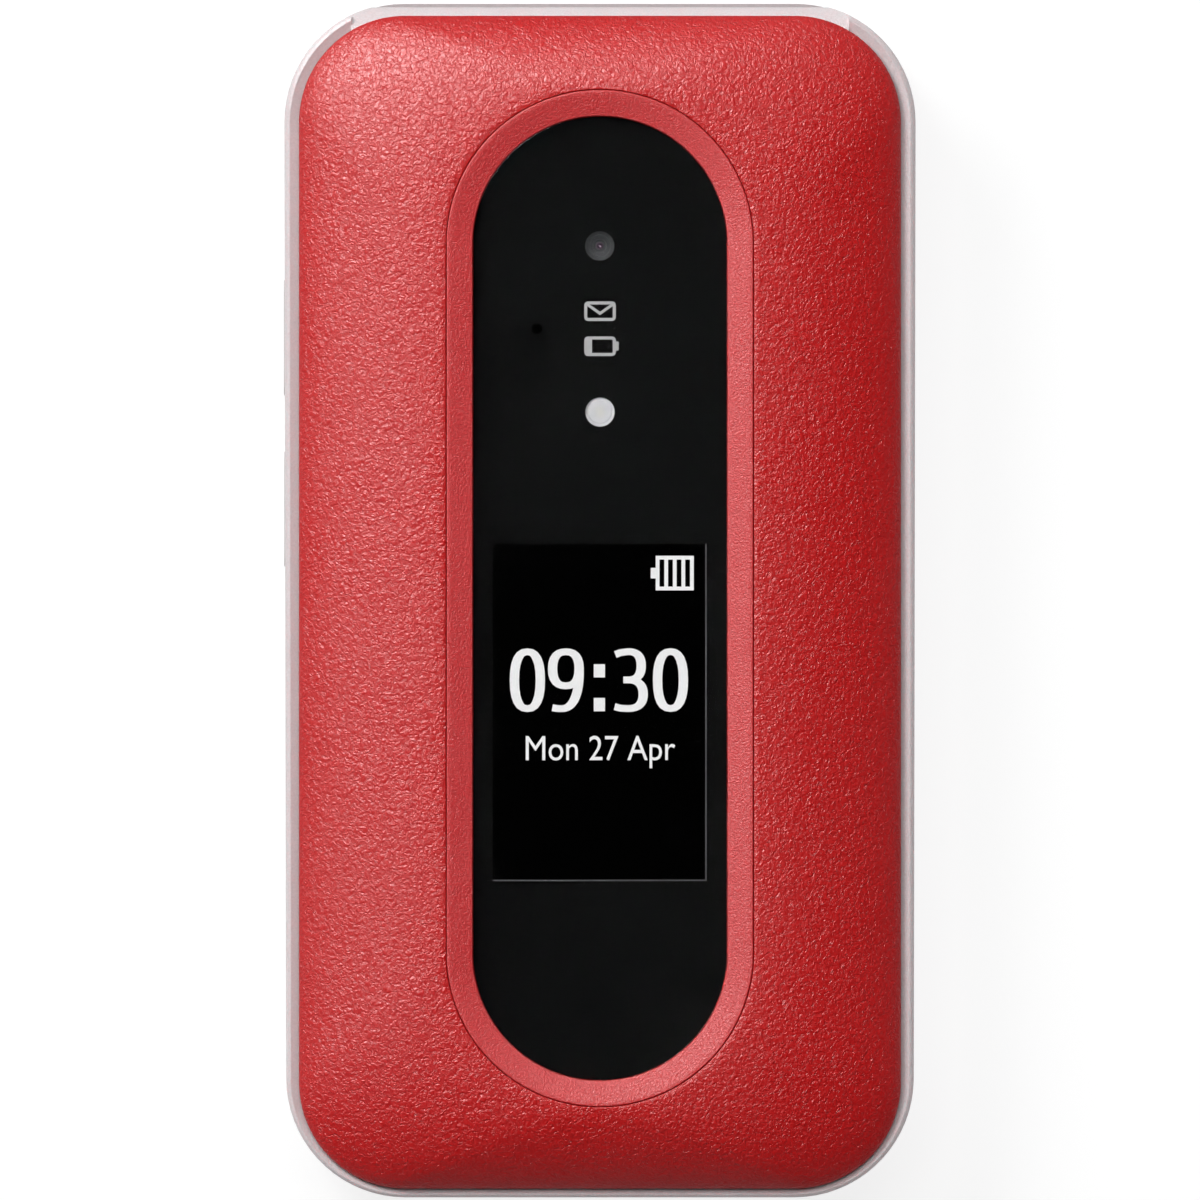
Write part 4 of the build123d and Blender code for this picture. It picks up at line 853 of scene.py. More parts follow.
body_high = (camera_high.x, camera_high.y, camera_low.z + CAMERA_BODY_T)
camera_body = bevelled_block("camera_body", camera_low, body_high, CAMERA_EDGE)
barrel_steps = [(CAMERA_BARREL_R, camera_low.z + CAMERA_BODY_T / 2), (CAMERA_BARREL_R, camera_high.z)]
barrel_steps += [(r * MM, camera_high.z - sunk * MM) for r, sunk in CAMERA_STEPS]
camera_barrel = turned("camera_barrel", camera_x, camera_y, barrel_steps)
barrel_grey, tree, shader, coords = material("blackened_turned_metal")
from_axis = off_axis(tree, coords, camera_x, camera_y)
turning = wave(tree, from_axis, math.tau / TURNING_PITCH)
tarnish = spread(tree, noise(tree, coords, 1 / (0.7 * MM)), 0.4, 0.7, 0, 0.5)
tint = blend(tree, spread(tree, turning, -1, 1), (0.036, 0.036, 0.040, 1), (0.052, 0.052, 0.058, 1))
tint = blend(tree, tarnish, tint, (0.050, 0.060, 0.056, 1))
surface(tree, shader, Base_Color=tint, Roughness=spread(tree, turning, -1, 1, 0.45, 0.6))
emboss(tree, shader, turning, 0.004 * MM, 0.5)
module = joined("camera_barrel", [camera_barrel, camera_body])
dress(module, barrel_grey, "lid", "black_plastic", "camera_module")


def dome(radius, foot, rise, steps, tip, start=0):
    """Profile of a dome from its foot to a blunt tip, rising or falling."""
    turns = [math.pi / 2 * n / steps for n in range(start, steps + 1)]
    return [(max(radius * math.cos(turn), tip), foot + rise * math.sin(turn)) for turn in turns]


pupil_dome = dome(PUPIL_R, camera_high.z - PUPIL_SINK, PUPIL_RISE, 6, 0.01 * MM)
pupil = turned("camera_pupil", camera_x, camera_y, pupil_dome, steps=40)
coated_lens, tree, shader, coords = material("purple_coated_lens")
out_share = spread(tree, off_axis(tree, coords, camera_x, camera_y), 0.12 * MM, 0.33 * MM)
lens_tint = blend(tree, out_share, (0.020, 0.004, 0.022, 1), (0.13, 0.095, 0.125, 1))
# light thrown back twice from the elements inside: how far aside, its radius and strength
FLARES = ((-0.05, 0.03, 0.055, 0.42), (0.06, -0.05, 0.07, 0.75))
flare = None
for dx, dy, radius, peak in FLARES:
    away = off_axis(tree, coords, camera_x + dx * MM, camera_y + dy * MM)
    spark = spread(tree, away, 0.3 * radius * MM, 1.7 * radius * MM, peak, 0.0)
    flare = spark if flare is None else maths(tree, "ADD", flare, spark)
wiped = noise(tree, coords, 1 / (0.3 * MM))
surface(
    tree, shader, Base_Color=lens_tint, Roughness=spread(tree, wiped, 0.3, 0.7, 0.08, 0.14),
    Emission_Color=blend(tree, flare, (0, 0, 0, 1), (0.72, 0.52, 0.66, 1)), Emission_Strength=1.0,
)
dress(pupil, coated_lens, "lid", "black_window")


# Flash ------------
# Light-emitting diode on the lid's board, under a milky diffuser with moulded rings,
# which looks warm in the middle where the phosphor shows through.
FLASH_BASE_T = 0.8 * MM
FLASH_EDGE = 0.1 * MM
DIFFUSER_R = 1.35 * MM
# radius and how far below the top, in millimetres
DIFFUSER_STEPS = [(1.35, 0), (1.22, 0), (1.18, 0.05), (1.08, 0.05), (1.02, 0), (0.60, 0.03), (0.25, 0)]
flash_low, flash_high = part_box("flash_led")


def middle(low, high):
    """Middle of a box seen from above, from two of its corners."""
    return (low.x + high.x) / 2, (low.y + high.y) / 2


flash_x, flash_y = middle(flash_low, flash_high)
base_high = (flash_high.x, flash_high.y, flash_low.z + FLASH_BASE_T)
flash_base = bevelled_block("flash_base", flash_low, base_high, FLASH_EDGE)
diffuser_steps = [(DIFFUSER_R, flash_low.z + FLASH_BASE_T / 2)]
diffuser_steps += [(r * MM, flash_high.z - sunk * MM) for r, sunk in DIFFUSER_STEPS]
diffuser = turned("flash_diffuser", flash_x, flash_y, diffuser_steps)
milky, tree, shader, coords = material("milky_diffuser")
from_axis = off_axis(tree, coords, flash_x, flash_y)
swirl = noise(tree, coords, 1 / (1.1 * MM), 1.0)
glowing_middle = spread(tree, from_axis, 0.05 * MM, 0.75 * MM, 1, 0)
warm = maths(tree, "ADD", glowing_middle, spread(tree, swirl, 0.3, 0.7, -0.2, 0.2))
cool = blend(tree, spread(tree, swirl, 0.35, 0.65), (0.88, 0.88, 0.91, 1), (0.96, 0.96, 0.98, 1))
surface(
    tree, shader, Base_Color=blend(tree, spread(tree, warm, 0, 1), cool, (0.96, 0.95, 0.90, 1)),
    Roughness=spread(tree, swirl, 0.3, 0.7, 0.3, 0.42),
)
dress(joined("flash_diffuser", [diffuser, flash_base]), milky, "lid", "light_pipe", "flash_led")


# Lid frame ------------
# White moulding that carries the cover, the boards and the display, with the hinge
# barrel at its end. Its plastic is pearly and spark-eroded to a fine grain.
moulded, given, moulded_out = effect(
    "moulded_grain", [("Vector", "Vector"), ("Fineness", "Float")], [("Height", "Float"), ("Fleck", "Float")]
)
spot = scaled(moulded, given["Vector"], given["Fineness"])
pits = node(moulded, "ShaderNodeTexVoronoi", {"Vector": spot, "Scale": 1.0}).outputs["Distance"]
sand = noise(moulded, spot, 1.3, 3.0, 0.6)
cloud = noise(moulded, spot, 0.06)
pit_share = spread(moulded, pits, 0.1, 0.7, 0.0, 0.4)
bumpy = maths(moulded, "ADD", maths(moulded, "MULTIPLY", sand, 0.7), pit_share)
moulded.links.new(bumpy, moulded_out["Height"])
fleck = maths(moulded, "ADD", sand, maths(moulded, "MULTIPLY", cloud, 0.2))
moulded.links.new(spread(moulded, fleck, 0.35, 0.85), moulded_out["Fleck"])


def moulded_plastic(name, light, deep, grain_size, relief, gloss, specular=0.5):
    """Moulded plastic or rubber with its tones, grain in millimetres, and range of roughness."""
    made, tree, shader, coords = material(name)
    grain = with_effect(tree, moulded, coords, 1 / (grain_size * MM))
    emboss(tree, shader, grain["Height"], relief * MM, 0.7)
    surface(
        tree, shader, Base_Color=blend(tree, grain["Fleck"], (*light, 1), (*deep, 1)),
        Roughness=spread(tree, grain["Height"], 0.3, 0.9, *gloss), Specular_IOR_Level=specular,
    )
    return made, tree, shader, coords


PEARL = ((0.71, 0.64, 0.65), (0.62, 0.545, 0.555))
pearl, tree, shader, coords = moulded_plastic("pearl_white_plastic", *PEARL, 0.24, 0.055, (0.36, 0.52))
surface(
    tree, shader, Sheen_Weight=0.3, Sheen_Roughness=0.4,
    Subsurface_Weight=0.4, Subsurface_Radius=(0.6, 0.35, 0.35), Subsurface_Scale=MM,
)
finish_node("lid_frame", pearl)


# Inner bezel ------------
# Flat pale plate over the inside of the lid, glued down, with openings for the window
# and the earpiece. The smooth plastic is a tone greyer than the casing.
PALE = ((0.66, 0.65, 0.655), (0.60, 0.59, 0.60))
bezel_white = moulded_plastic("smooth_pale_plastic", *PALE, 0.5, 0.012, (0.25, 0.36))[0]
finish_node("inner_bezel", bezel_white)


# Bumpers ------------
# Four soft plugs over the lid's screws, domed so that the lid shuts quietly.
BUMPER_R = 1.6 * MM
BUMPER_DOME = 0.35 * MM
bumper_low, bumper_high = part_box("lid_bumpers")
SOFT_GREY = ((0.42, 0.42, 0.43), (0.36, 0.36, 0.37))
silicone = moulded_plastic("soft_grey_silicone", *SOFT_GREY, 0.35, 0.01, (0.55, 0.7), 0.35)[0]
plug = [(BUMPER_R, bumper_high.z), (BUMPER_R, bumper_low.z + BUMPER_DOME)]
plug += dome(BUMPER_R, bumper_low.z + BUMPER_DOME, -BUMPER_DOME, 8, 0.02 * MM, start=1)
bumpers = []
for x in (bumper_low.x + BUMPER_R, bumper_high.x - BUMPER_R):
    for y in (bumper_low.y + BUMPER_R, bumper_high.y - BUMPER_R):
        bumpers.append(turned("lid_bumper", x, y, plug, steps=40))
dress(joined("lid_bumper_domes", bumpers), silicone, "lid", "silicone", "lid_bumpers")


# Main window and display ------------
# Clear hard-coated window glued into the bezel, printed black round its border on the
# inside. The display stands behind it and shows the time on a blue ground.
BORDER_SIDE = 2.3 * MM
BORDER_END = 1.5 * MM
BORDER_T = 0.04 * MM
WINDOW_R = 2.5 * MM
window_low, window_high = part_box("main_window")
screen_low, screen_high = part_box("main_display")
finish_node("main_window", clear_sheet)
finish_node("main_display", display_black)
border_z = window_high.z + PRINT_GAP
window_sides = (window_low.x, window_high.x, window_low.y, window_high.y, WINDOW_R)
border = skin("main_window_print", [outline(*window_sides, z) for z in (border_z, border_z + BORDER_T)])
hole_low = (window_low.x + BORDER_SIDE, window_low.y + BORDER_END, border_z - MM / 2)
hole_high = (window_high.x - BORDER_SIDE, window_high.y - BORDER_END, border_z + MM / 2)
cut(border, [cube(hole_low, hole_high)])
dress(border, print_black, "lid", "black_window")

# what the display shows, read with the hinge below it
GROUND_T = 0.01 * MM
LAYER_GAP = 0.01 * MM
ground_z = screen_low.z - LAYER_GAP
sign_z = ground_z - GROUND_T - LAYER_GAP
screen_x = (screen_high.x - screen_low.x) / 2
screen_foot, screen_top = -screen_high.y, -screen_low.y
screen_y = (screen_foot + screen_top) / 2
ground_shape = block(-screen_x, screen_x, screen_foot, screen_top)
ground = printed("screen_ground", [ground_shape], ground_z, GROUND_T, faces_down=True)


def axes(tree, place):
    """X, Y and Z of a place."""
    return node(tree, "ShaderNodeSeparateXYZ", {0: place}).outputs


screen_blue, tree, shader, coords = material("screen_ground_blue")
sway = noise(tree, coords, 28.0, 1.0)
upwards = maths(tree, "MULTIPLY", axes(tree, coords)["Y"], -1.0)
slope = maths(tree, "ADD", upwards, maths(tree, "MULTIPLY", sway, 30 * MM))
dusk = blend(tree, spread(tree, slope, -20 * MM, 48 * MM), (0.02, 0.16, 0.36, 1), (0.004, 0.012, 0.06, 1))
ridge = spread(tree, wave(tree, slope, 1 / (5 * MM)), 0.2, 1.0, 0.0, 0.25)
surface(
    tree, shader, Base_Color=blend(tree, sway, (0.01, 0.01, 0.012, 1), (0.02, 0.02, 0.024, 1)),
    Emission_Color=blend(tree, ridge, dusk, (0.05, 0.30, 0.52, 1)), Emission_Strength=0.8,
)
dress(ground, screen_blue, "lid", "display")
# left, right, low and high edge from the middle of the screen
SCREEN_LINES = {
    "main_clock": ("09:30", -14.5 * MM, 14.5 * MM, 4.5 * MM, 14.5 * MM),
    "main_date": ("Mon 27 Apr", -11.0 * MM, 11.0 * MM, -3.6 * MM, 0.2 * MM),
}
for name, (text, left, right, foot, top) in SCREEN_LINES.items():
    box = (left, right, screen_y + foot, screen_y + top)
    dress(lettering(name, text, box, sign_z, PIXEL_T, faces_down=True), pixel_white, "lid", "display")
# signs in the corners, in millimetres: signal, charge, and a list and a person for the
# two soft keys
STATUS_INSET = 2.2 * MM
STATUS_H = 2.4
SIGNAL = [block(0.9 * bar, 0.9 * bar + 0.55, 0, STATUS_H * (bar + 1) / 5) for bar in range(5)]
CHARGE = stroke(rounded(-4.2, 0, 0, STATUS_H, 0.2), 0.3, True) + [block(-3.8, -1.2, 0.4, STATUS_H - 0.4)]
LIST = [block(0, 3.6, 1.1 * row, 1.1 * row + 0.5) for row in range(3)]
PERSON = [arc(-1.6, 2.5, 0.8, 0, 360, 20)[:-1], arc(-1.6, 0, 1.5, 0, 180, 16)]
sign_left, sign_right = -screen_x + STATUS_INSET, screen_x - STATUS_INSET
sign_top, sign_foot = screen_top - STATUS_INSET - STATUS_H * MM, screen_foot + STATUS_INSET
status = placed(SIGNAL, sign_left, sign_top, MM) + placed(CHARGE, sign_right, sign_top, MM)
status += placed(LIST, sign_left, sign_foot, MM) + placed(PERSON, sign_right, sign_foot, MM)
dress(printed("screen_signs", status, sign_z, PIXEL_T, faces_down=True), pixel_white, "lid", "display")


# Earpiece, lid board and screws ------------
# The earpiece is a black can behind a woven dust mesh. It hangs from the board that lies
# over the display, and screws hold the frame to the cover.
woven, given, woven_out = effect(
    "woven_threads", [("Vector", "Vector"), ("Fineness", "Float")], [("Height", "Float"), ("Thread", "Float")]
)
across = axes(woven, scaled(woven, given["Vector"], given["Fineness"]))
warp, weft = [maths(woven, "ABSOLUTE", wave(woven, across[axis], math.pi)) for axis in "XY"]
thread = maths(woven, "MAXIMUM", warp, weft)
woven.links.new(thread, woven_out["Height"])
woven.links.new(spread(woven, thread, 0.55, 0.85), woven_out["Thread"])
THREAD_PITCH = 0.3 * MM
mesh_cloth, tree, shader, coords = material("woven_dust_mesh")
weave = with_effect(tree, woven, coords, 1 / THREAD_PITCH)
thread_tint = blend(tree, weave["Thread"], (0.003, 0.003, 0.003, 1), (0.045, 0.045, 0.047, 1))
surface(tree, shader, Base_Color=thread_tint, Roughness=spread(tree, weave["Thread"], 0, 1, 0.9, 0.5))
emboss(tree, shader, weave["Height"], 0.08 * MM, 0.9)
finish_node("earpiece_mesh", mesh_cloth)
BLACK = ((0.022, 0.022, 0.024), (0.014, 0.014, 0.015))
black_plastic = moulded_plastic("moulded_black_plastic", *BLACK, 0.2, 0.02, (0.4, 0.6))[0]
finish_node("earpiece", black_plastic)
PAD_PITCH = 1.6 * MM
solder_green, tree, shader, coords = material("green_solder_mask")
cells = {"Vector": scaled(tree, coords, 1 / PAD_PITCH), "Scale": 1.0}
lands = node(tree, "ShaderNodeTexVoronoi", cells, distance="CHEBYCHEV").outputs["Distance"]
copper = spread(tree, wave(tree, lands, 30.0), 0.1, 0.5)
pads = spread(tree, lands, 0.06, 0.09, 1.0, 0.0)
mask_tint = blend(tree, copper, (0.008, 0.085, 0.035, 1), (0.018, 0.15, 0.06, 1))
surface(
    tree, shader, Base_Color=blend(tree, pads, mask_tint, (0.72, 0.52, 0.22, 1)),
    Metallic=pads, Roughness=spread(tree, copper, 0, 1, 0.38, 0.28),
)
emboss(tree, shader, copper, 0.03 * MM, 0.6)
finish_node("lid_board", solder_green)


def drawn_metal(name, light, deep, marks_size, relief, gloss):
    """Bare metal with its tones, the size of its fine marks along each axis, and roughness."""
    made, tree, shader, coords = material(name)
    fineness = [1 / (size * MM) for size in marks_size]
    pulled = node(tree, "ShaderNodeMapping", {"Vector": coords, "Scale": fineness}).outputs[0]
    marks = noise(tree, pulled, 1.0, 3.0)
    stain = noise(tree, coords, 1 / (3 * MM))
    emboss(tree, shader, marks, relief * MM, 0.6)
    surface(
        tree, shader, Base_Color=blend(tree, spread(tree, stain, 0.3, 0.7), (*light, 1), (*deep, 1)),
        Roughness=spread(tree, maths(tree, "ADD", marks, stain), 0.6, 1.4, *gloss), Metallic=1.0,
    )
    return made, tree, shader, coords


ALONG_Z = (0.1, 0.1, 0.5)  # millimetres along x, y and z
TURNED = ((0.58, 0.58, 0.59), (0.47, 0.46, 0.45))
turned_steel = drawn_metal("turned_steel", *TURNED, ALONG_Z, 0.01, (0.25, 0.4))[0]
finish_node("lid_screws", turned_steel)


# Hinge ------------
# A steel cartridge in the barrel holds a spring and a cam on the shaft, which is keyed
# into the right knuckle. A plain bush carries the other end, with the flex beside it.
ALONG_X = (3, 0.08, 0.08)
GROUND = ((0.60, 0.60, 0.61), (0.50, 0.50, 0.50))
ground_steel = drawn_metal("ground_steel", *GROUND, ALONG_X, 0.008, (0.2, 0.35))[0]
for name in ("hinge_cartridge", "hinge_shaft", "hinge_spring"):
    finish_node(name, ground_steel)
ACETAL = ((0.58, 0.57, 0.54), (0.50, 0.49, 0.46))
bush_plastic = moulded_plastic("acetal_bush_plastic", *ACETAL, 0.3, 0.01, (0.3, 0.4))[0]
finish_node("pivot_bush", bush_plastic)
TRACK_PITCH = 0.6 * MM
amber_film, tree, shader, coords = material("amber_circuit_film")
tracks = spread(tree, wave(tree, axes(tree, coords)["X"], math.tau / TRACK_PITCH), -0.2, 0.2)
haze = noise(tree, coords, 1 / (2 * MM))
surface(
    tree, shader, Base_Color=blend(tree, tracks, (0.36, 0.13, 0.02, 1), (0.50, 0.22, 0.05, 1)),
    Roughness=spread(tree, haze, 0.3, 0.7, 0.2, 0.35),
)
for name in ("hinge_flex", "dome_sheet"):
    finish_node(name, amber_film)


# Casing of the base ------------
# Two mouldings in a satin grade of the pearly plastic: the tub at the back and the deck
# round the keys. They meet at a fine parting line round the sides.
CASING = ((0.60, 0.55, 0.555), (0.53, 0.475, 0.48))
PARTING_HALF = 0.05 * MM
parting_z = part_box("rear_case")[1].z


def overprint(tree, shader, share, colour):
    """Lay a colour over the shader's own, by a share."""
    base = shader.inputs["Base Color"]
    tree.links.new(blend(tree, share, base.links[0].from_socket, colour), base)


cased, tree, shader, coords = moulded_plastic("pearl_white_casing", *CASING, 0.24, 0.03, (0.46, 0.6), 0.25)
off_line = apart(tree, axes(tree, coords)["Z"], parting_z)
line = spread(tree, off_line, PARTING_HALF, 2 * PARTING_HALF, 0.75, 0.0)
overprint(tree, shader, line, (0.10, 0.09, 0.09, 1))
for name in ("rear_case", "front_case", "battery_cover"):
    finish_node(name, cased)


# Digit keys ------------
# Twelve large pillow-shaped caps of satin grey plastic, each with a thin rim that keeps
# it under the deck. Their figures and letters are printed in charcoal.
KEY_RIM = 0.5 * MM
KEY_RIM_T = 0.5 * MM
KEY_EDGE_R = 0.28 * MM
KEY_CROWN = 0.14 * MM
KEY_CROWN_W = 1.1 * MM
KEY_CROWN_RINGS = 5
KEY_CORNER = 3.0 * MM
KEY_PRINT_T = 0.015 * MM
DIGIT_SIZE = 6.4 * MM
DIGIT_ASIDE = 2.9 * MM  # to the left of the middle, where letters stand beside it
DIGIT_DROP = 0.36  # foot below the middle, in parts of the size
STAR_DROP = 0.62
LETTERS_SIZE = 2.9 * MM
LETTERS_ASIDE = 2.5 * MM
LETTERS_DROP = 0.3
KEY_GREY = ((0.40, 0.40, 0.415), (0.35, 0.35, 0.365))
CHARCOAL = ((0.016, 0.016, 0.018), (0.010, 0.010, 0.012))
SMALLEST_CORNER = 0.3 * MM


def pillow_cap(name, cad_node, corner):
    """Key cap with a rim below it, a rounded edge and a slightly crowned top."""
    low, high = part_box(cad_node)
    levels = [(0, low.z), (0, low.z + KEY_RIM_T), (KEY_RIM, low.z + KEY_RIM_T)]
    levels += edge_round(KEY_RIM, high.z - KEY_CROWN, KEY_EDGE_R)
    for n in range(1, KEY_CROWN_RINGS + 1):
        part = n / KEY_CROWN_RINGS
        levels.append((KEY_RIM + KEY_EDGE_R + part * KEY_CROWN_W, high.z - KEY_CROWN * (1 - part) ** 2))
    rings = []
    for inset, z in levels:
        edge = max(corner + KEY_RIM - inset, SMALLEST_CORNER)
        rings.append(outline(low.x + inset, high.x - inset, low.y + inset, high.y - inset, edge, z))
    return skin(name, rings)


def word(name, text, x, baseline, size, z, thickness, faces_down=False):
    """Text in the built-in font at a font size, centred on x."""
    words = flat_text(name, text)
    spots = [vertex.co.x for vertex in words.data.vertices]
    centre = (min(spots) + max(spots)) / 2
    for vertex in words.data.vertices:
        vertex.co = Vector((x + (vertex.co.x - centre) * size, baseline + vertex.co.y * size, 0))
    return raised(words, z, thickness, faces_down)


key_grey = moulded_plastic("satin_grey_key_plastic", *KEY_GREY, 0.16, 0.012, (0.5, 0.62), 0.2)[0]
charcoal = moulded_plastic("charcoal_key_print", *CHARCOAL, 0.2, 0.004, (0.5, 0.6), 0.2)[0]
LETTERS = {
    "1": "", "2": "abc", "3": "def", "4": "ghi", "5": "jkl", "6": "mno",
    "7": "pqrs", "8": "tuv", "9": "wxyz", "star": "", "0": "+", "hash": "",
}
SIGNS = {"star": "*", "hash": "#"}
for key, letters in LETTERS.items():
    cad_node = "key_" + key
    low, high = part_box(cad_node)
    key_x, key_y = middle(low, high)
    dress(pillow_cap(cad_node + "_cap", cad_node, KEY_CORNER), key_grey, cad_node, "key_plastic", cad_node)
    x = key_x - (DIGIT_ASIDE if letters else 0)
    foot = key_y - DIGIT_SIZE * (STAR_DROP if key == "star" else DIGIT_DROP)
    figure = word(cad_node + "_digit", SIGNS.get(key, key), x, foot, DIGIT_SIZE, high.z, KEY_PRINT_T)
    dress(figure, charcoal, cad_node, "key_plastic")
    if letters:
        x, foot = key_x + LETTERS_ASIDE, key_y - LETTERS_SIZE * LETTERS_DROP
        side_letters = word(cad_node + "_letters", letters, x, foot, LETTERS_SIZE, high.z, KEY_PRINT_T)
        dress(side_letters, charcoal, cad_node, "key_plastic")


# Function keys ------------
# Six smaller caps beside the rocker: two soft keys, camera, messages, and call and end,
# which are green and red.
FUNCTION_CORNER = 2.4 * MM
# signs as outlines in millimetres from the middle of the key
SIGN_LINE = 0.36
SOFT_SIGN = [rounded(-1.9, 1.9, -0.3, 0.3, 0.25)]
CAMERA_SIGN = stroke(rounded(-2.1, 2.1, -1.35, 1.1, 0.35), SIGN_LINE, True)
CAMERA_SIGN += stroke(arc(0, -0.12, 0.72, 0, 360, 24)[:-1], SIGN_LINE, True) + [block(-0.7, 0.7, 1.1, 1.6)]
ENVELOPE_FLAP = [Vector((-1.9, 1.1)), Vector((0, -0.2)), Vector((1.9, 1.1))]
ENVELOPE_SIGN = stroke(rounded(-2.1, 2.1, -1.35, 1.35, 0.3), SIGN_LINE, True)
ENVELOPE_SIGN += stroke(ENVELOPE_FLAP, SIGN_LINE)
# handset lying on its back: a bent grip with a pad at each end
GRIP_ANGLES = [math.radians(angle) for angle in (215, 235, 255, 270, 285, 305, 325)]
GRIP = [Vector((2.5 * math.cos(angle), 2.5 * math.sin(angle) + 1.7)) for angle in GRIP_ANGLES]
HANDSET_SIGN = stroke(GRIP, 0.85) + [rounded(x - 0.75, x + 0.75, -0.25, 1.05, 0.25) for x in (-2.05, 2.05)]
GREEN = ((0.020, 0.27, 0.060), (0.015, 0.22, 0.045))
END_RED = ((0.46, 0.012, 0.014), (0.38, 0.009, 0.011))
WHITE = ((0.78, 0.78, 0.78), (0.72, 0.72, 0.72))
call_green = moulded_plastic("satin_green_key_plastic", *GREEN, 0.16, 0.012, (0.46, 0.58), 0.3)[0]
end_red = moulded_plastic("satin_red_key_plastic", *END_RED, 0.16, 0.012, (0.46, 0.58), 0.3)[0]
white_print = moulded_plastic("white_key_print", *WHITE, 0.2, 0.004, (0.5, 0.6), 0.3)[0]
grey_key = (key_grey, charcoal, "key_plastic")
FUNCTION_KEYS = {
    "soft_left": (SOFT_SIGN, 0, *grey_key), "soft_right": (SOFT_SIGN, 0, *grey_key),
    "camera": (CAMERA_SIGN, 0, *grey_key), "messages": (ENVELOPE_SIGN, 0, *grey_key),
    "call": (HANDSET_SIGN, -40, call_green, white_print, "call_green"),
    "end": (HANDSET_SIGN, 0, end_red, white_print, "end_red"),
}
for key, (sign, turn, cap_finish, sign_finish, slot) in FUNCTION_KEYS.items():
    cad_node = "key_" + key
    low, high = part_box(cad_node)
    dress(pillow_cap(cad_node + "_cap", cad_node, FUNCTION_CORNER), cap_finish, cad_node, slot, cad_node)
    shapes = placed(sign, *middle(low, high), MM, turn)
    dress(printed(cad_node + "_sign", shapes, high.z, KEY_PRINT_T), sign_finish, cad_node, slot)


# Rocker and select key ------------
# Ring that tips up or down about its middle, with a dished key inside it. Small arrow
# heads are printed on the ring.
ROCKER_CORNER = 9.0 * MM
ROCKER_RIM_T = 0.42 * MM
ROCKER_DISH = 0.12 * MM
ROCKER_RINGS = 6
ROCKER_GAP = 0.3 * MM
SELECT_EDGE_R = 0.3 * MM
SELECT_DISH = 0.28 * MM
ARROW_W = 1.5 * MM
ARROW_H = 1.1 * MM
ARROW_T = 0.4 * ROCKER_DISH
rocker_low, rocker_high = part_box("nav_rocker")
select_low, select_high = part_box("nav_select")
rocker_x, rocker_y = middle(rocker_low, rocker_high)
select_r = (select_high.x - select_low.x) / 2
opening_r = select_r + ROCKER_GAP


def rocker_ring(inset, z):
    """Outer ring of the rocker, drawn in by an inset."""
    low_x, high_x = rocker_low.x + inset, rocker_high.x - inset
    low_y, high_y = rocker_low.y + inset, rocker_high.y - inset
    return outline(low_x, high_x, low_y, high_y, ROCKER_CORNER - inset, z)


def round_ring(radius, z):
    """Ring round the middle of the rocker."""
    return outline(rocker_x - radius, rocker_x + radius, rocker_y - radius, rocker_y + radius, radius, z)


rim_top = rocker_low.z + ROCKER_RIM_T
rings = [rocker_ring(0, rocker_low.z), rocker_ring(0, rim_top), rocker_ring(KEY_RIM, rim_top)]
rings += [rocker_ring(inset, z) for inset, z in edge_round(KEY_RIM, rocker_high.z, KEY_EDGE_R)]
outer_edge, inner_edge = rings[-1], round_ring(opening_r + KEY_EDGE_R, rocker_high.z)
for n in range(1, ROCKER_RINGS):
    part = n / ROCKER_RINGS
    sunk = Vector((0, 0, ROCKER_DISH * math.sin(math.pi * part)))
    rings.append([tuple(Vector(a).lerp(Vector(b), part) - sunk) for a, b in zip(outer_edge, inner_edge)])
rings.append(inner_edge)
for n in range(1, 5):
    turn = math.pi / 2 * n / 4
    drop = KEY_EDGE_R * (1 - math.cos(turn))
    rings.append(round_ring(opening_r + KEY_EDGE_R * (1 - math.sin(turn)), rocker_high.z - drop))
rings.append(round_ring(opening_r, rocker_low.z))
rocker = skin("nav_rocker_ring", rings, closed=True)
dress(rocker, key_grey, "nav_rocker", "key_plastic", "nav_rocker")
arrows = []
for across, up in ((0, 1), (0, -1), (1, 0), (-1, 0)):
    reach = (opening_r + (rocker_high.y - rocker_y if up else rocker_high.x - rocker_x)) / 2
    tip = Vector((rocker_x + across * (reach + ARROW_H / 2), rocker_y + up * (reach + ARROW_H / 2)))
    foot = tip - Vector((across, up)) * ARROW_H
    sideways = Vector((-up, across)) * ARROW_W / 2
    arrows.append([tip, foot + sideways, foot - sideways])
arrow_z = rocker_high.z - ROCKER_DISH
dress(printed("nav_arrows", arrows, arrow_z, ARROW_T), charcoal, "nav_rocker", "key_plastic")
dish = [(select_r, select_low.z)]
dish += [(select_r - inset, z) for inset, z in edge_round(0, select_high.z, SELECT_EDGE_R)]
for n in range(1, 9):
    part = n / 8
    radius = max((select_r - SELECT_EDGE_R) * (1 - part), 0.03 * MM)
    dish.append((radius, select_high.z - SELECT_DISH * part * (2 - part)))
select = turned("nav_select_cap", rocker_x, rocker_y, dish, steps=96)
dress(select, key_grey, "nav_select", "key_plastic", "nav_select")


# Keypad mat and switches ------------
# Under the caps lie a soft mat and a sheet of metal domes. Small switches answer to the
# keys in the side and in the back.
finish_node("keypad_mat", silicone)
finish_node("tact_switches", black_plastic)


# Volume keys ------------
# Two slim keys in the left side, of the casing's plastic, each with its sign drawn in painted shade, as if
# sunk in.
SIGN_ARM = 0.75 * MM
SIGN_HALF = 0.12 * MM
SIDE_PEARL = ((0.66, 0.62, 0.62), (0.58, 0.54, 0.54))


def arm(tree, along, across):
    """One arm of a sign, where a place is less than its half length and half width off."""
    in_length = spread(tree, along, SIGN_ARM, SIGN_ARM * 1.08, 1, 0)
    return maths(tree, "MULTIPLY", in_length, spread(tree, across, SIGN_HALF, SIGN_HALF * 1.4, 1, 0))


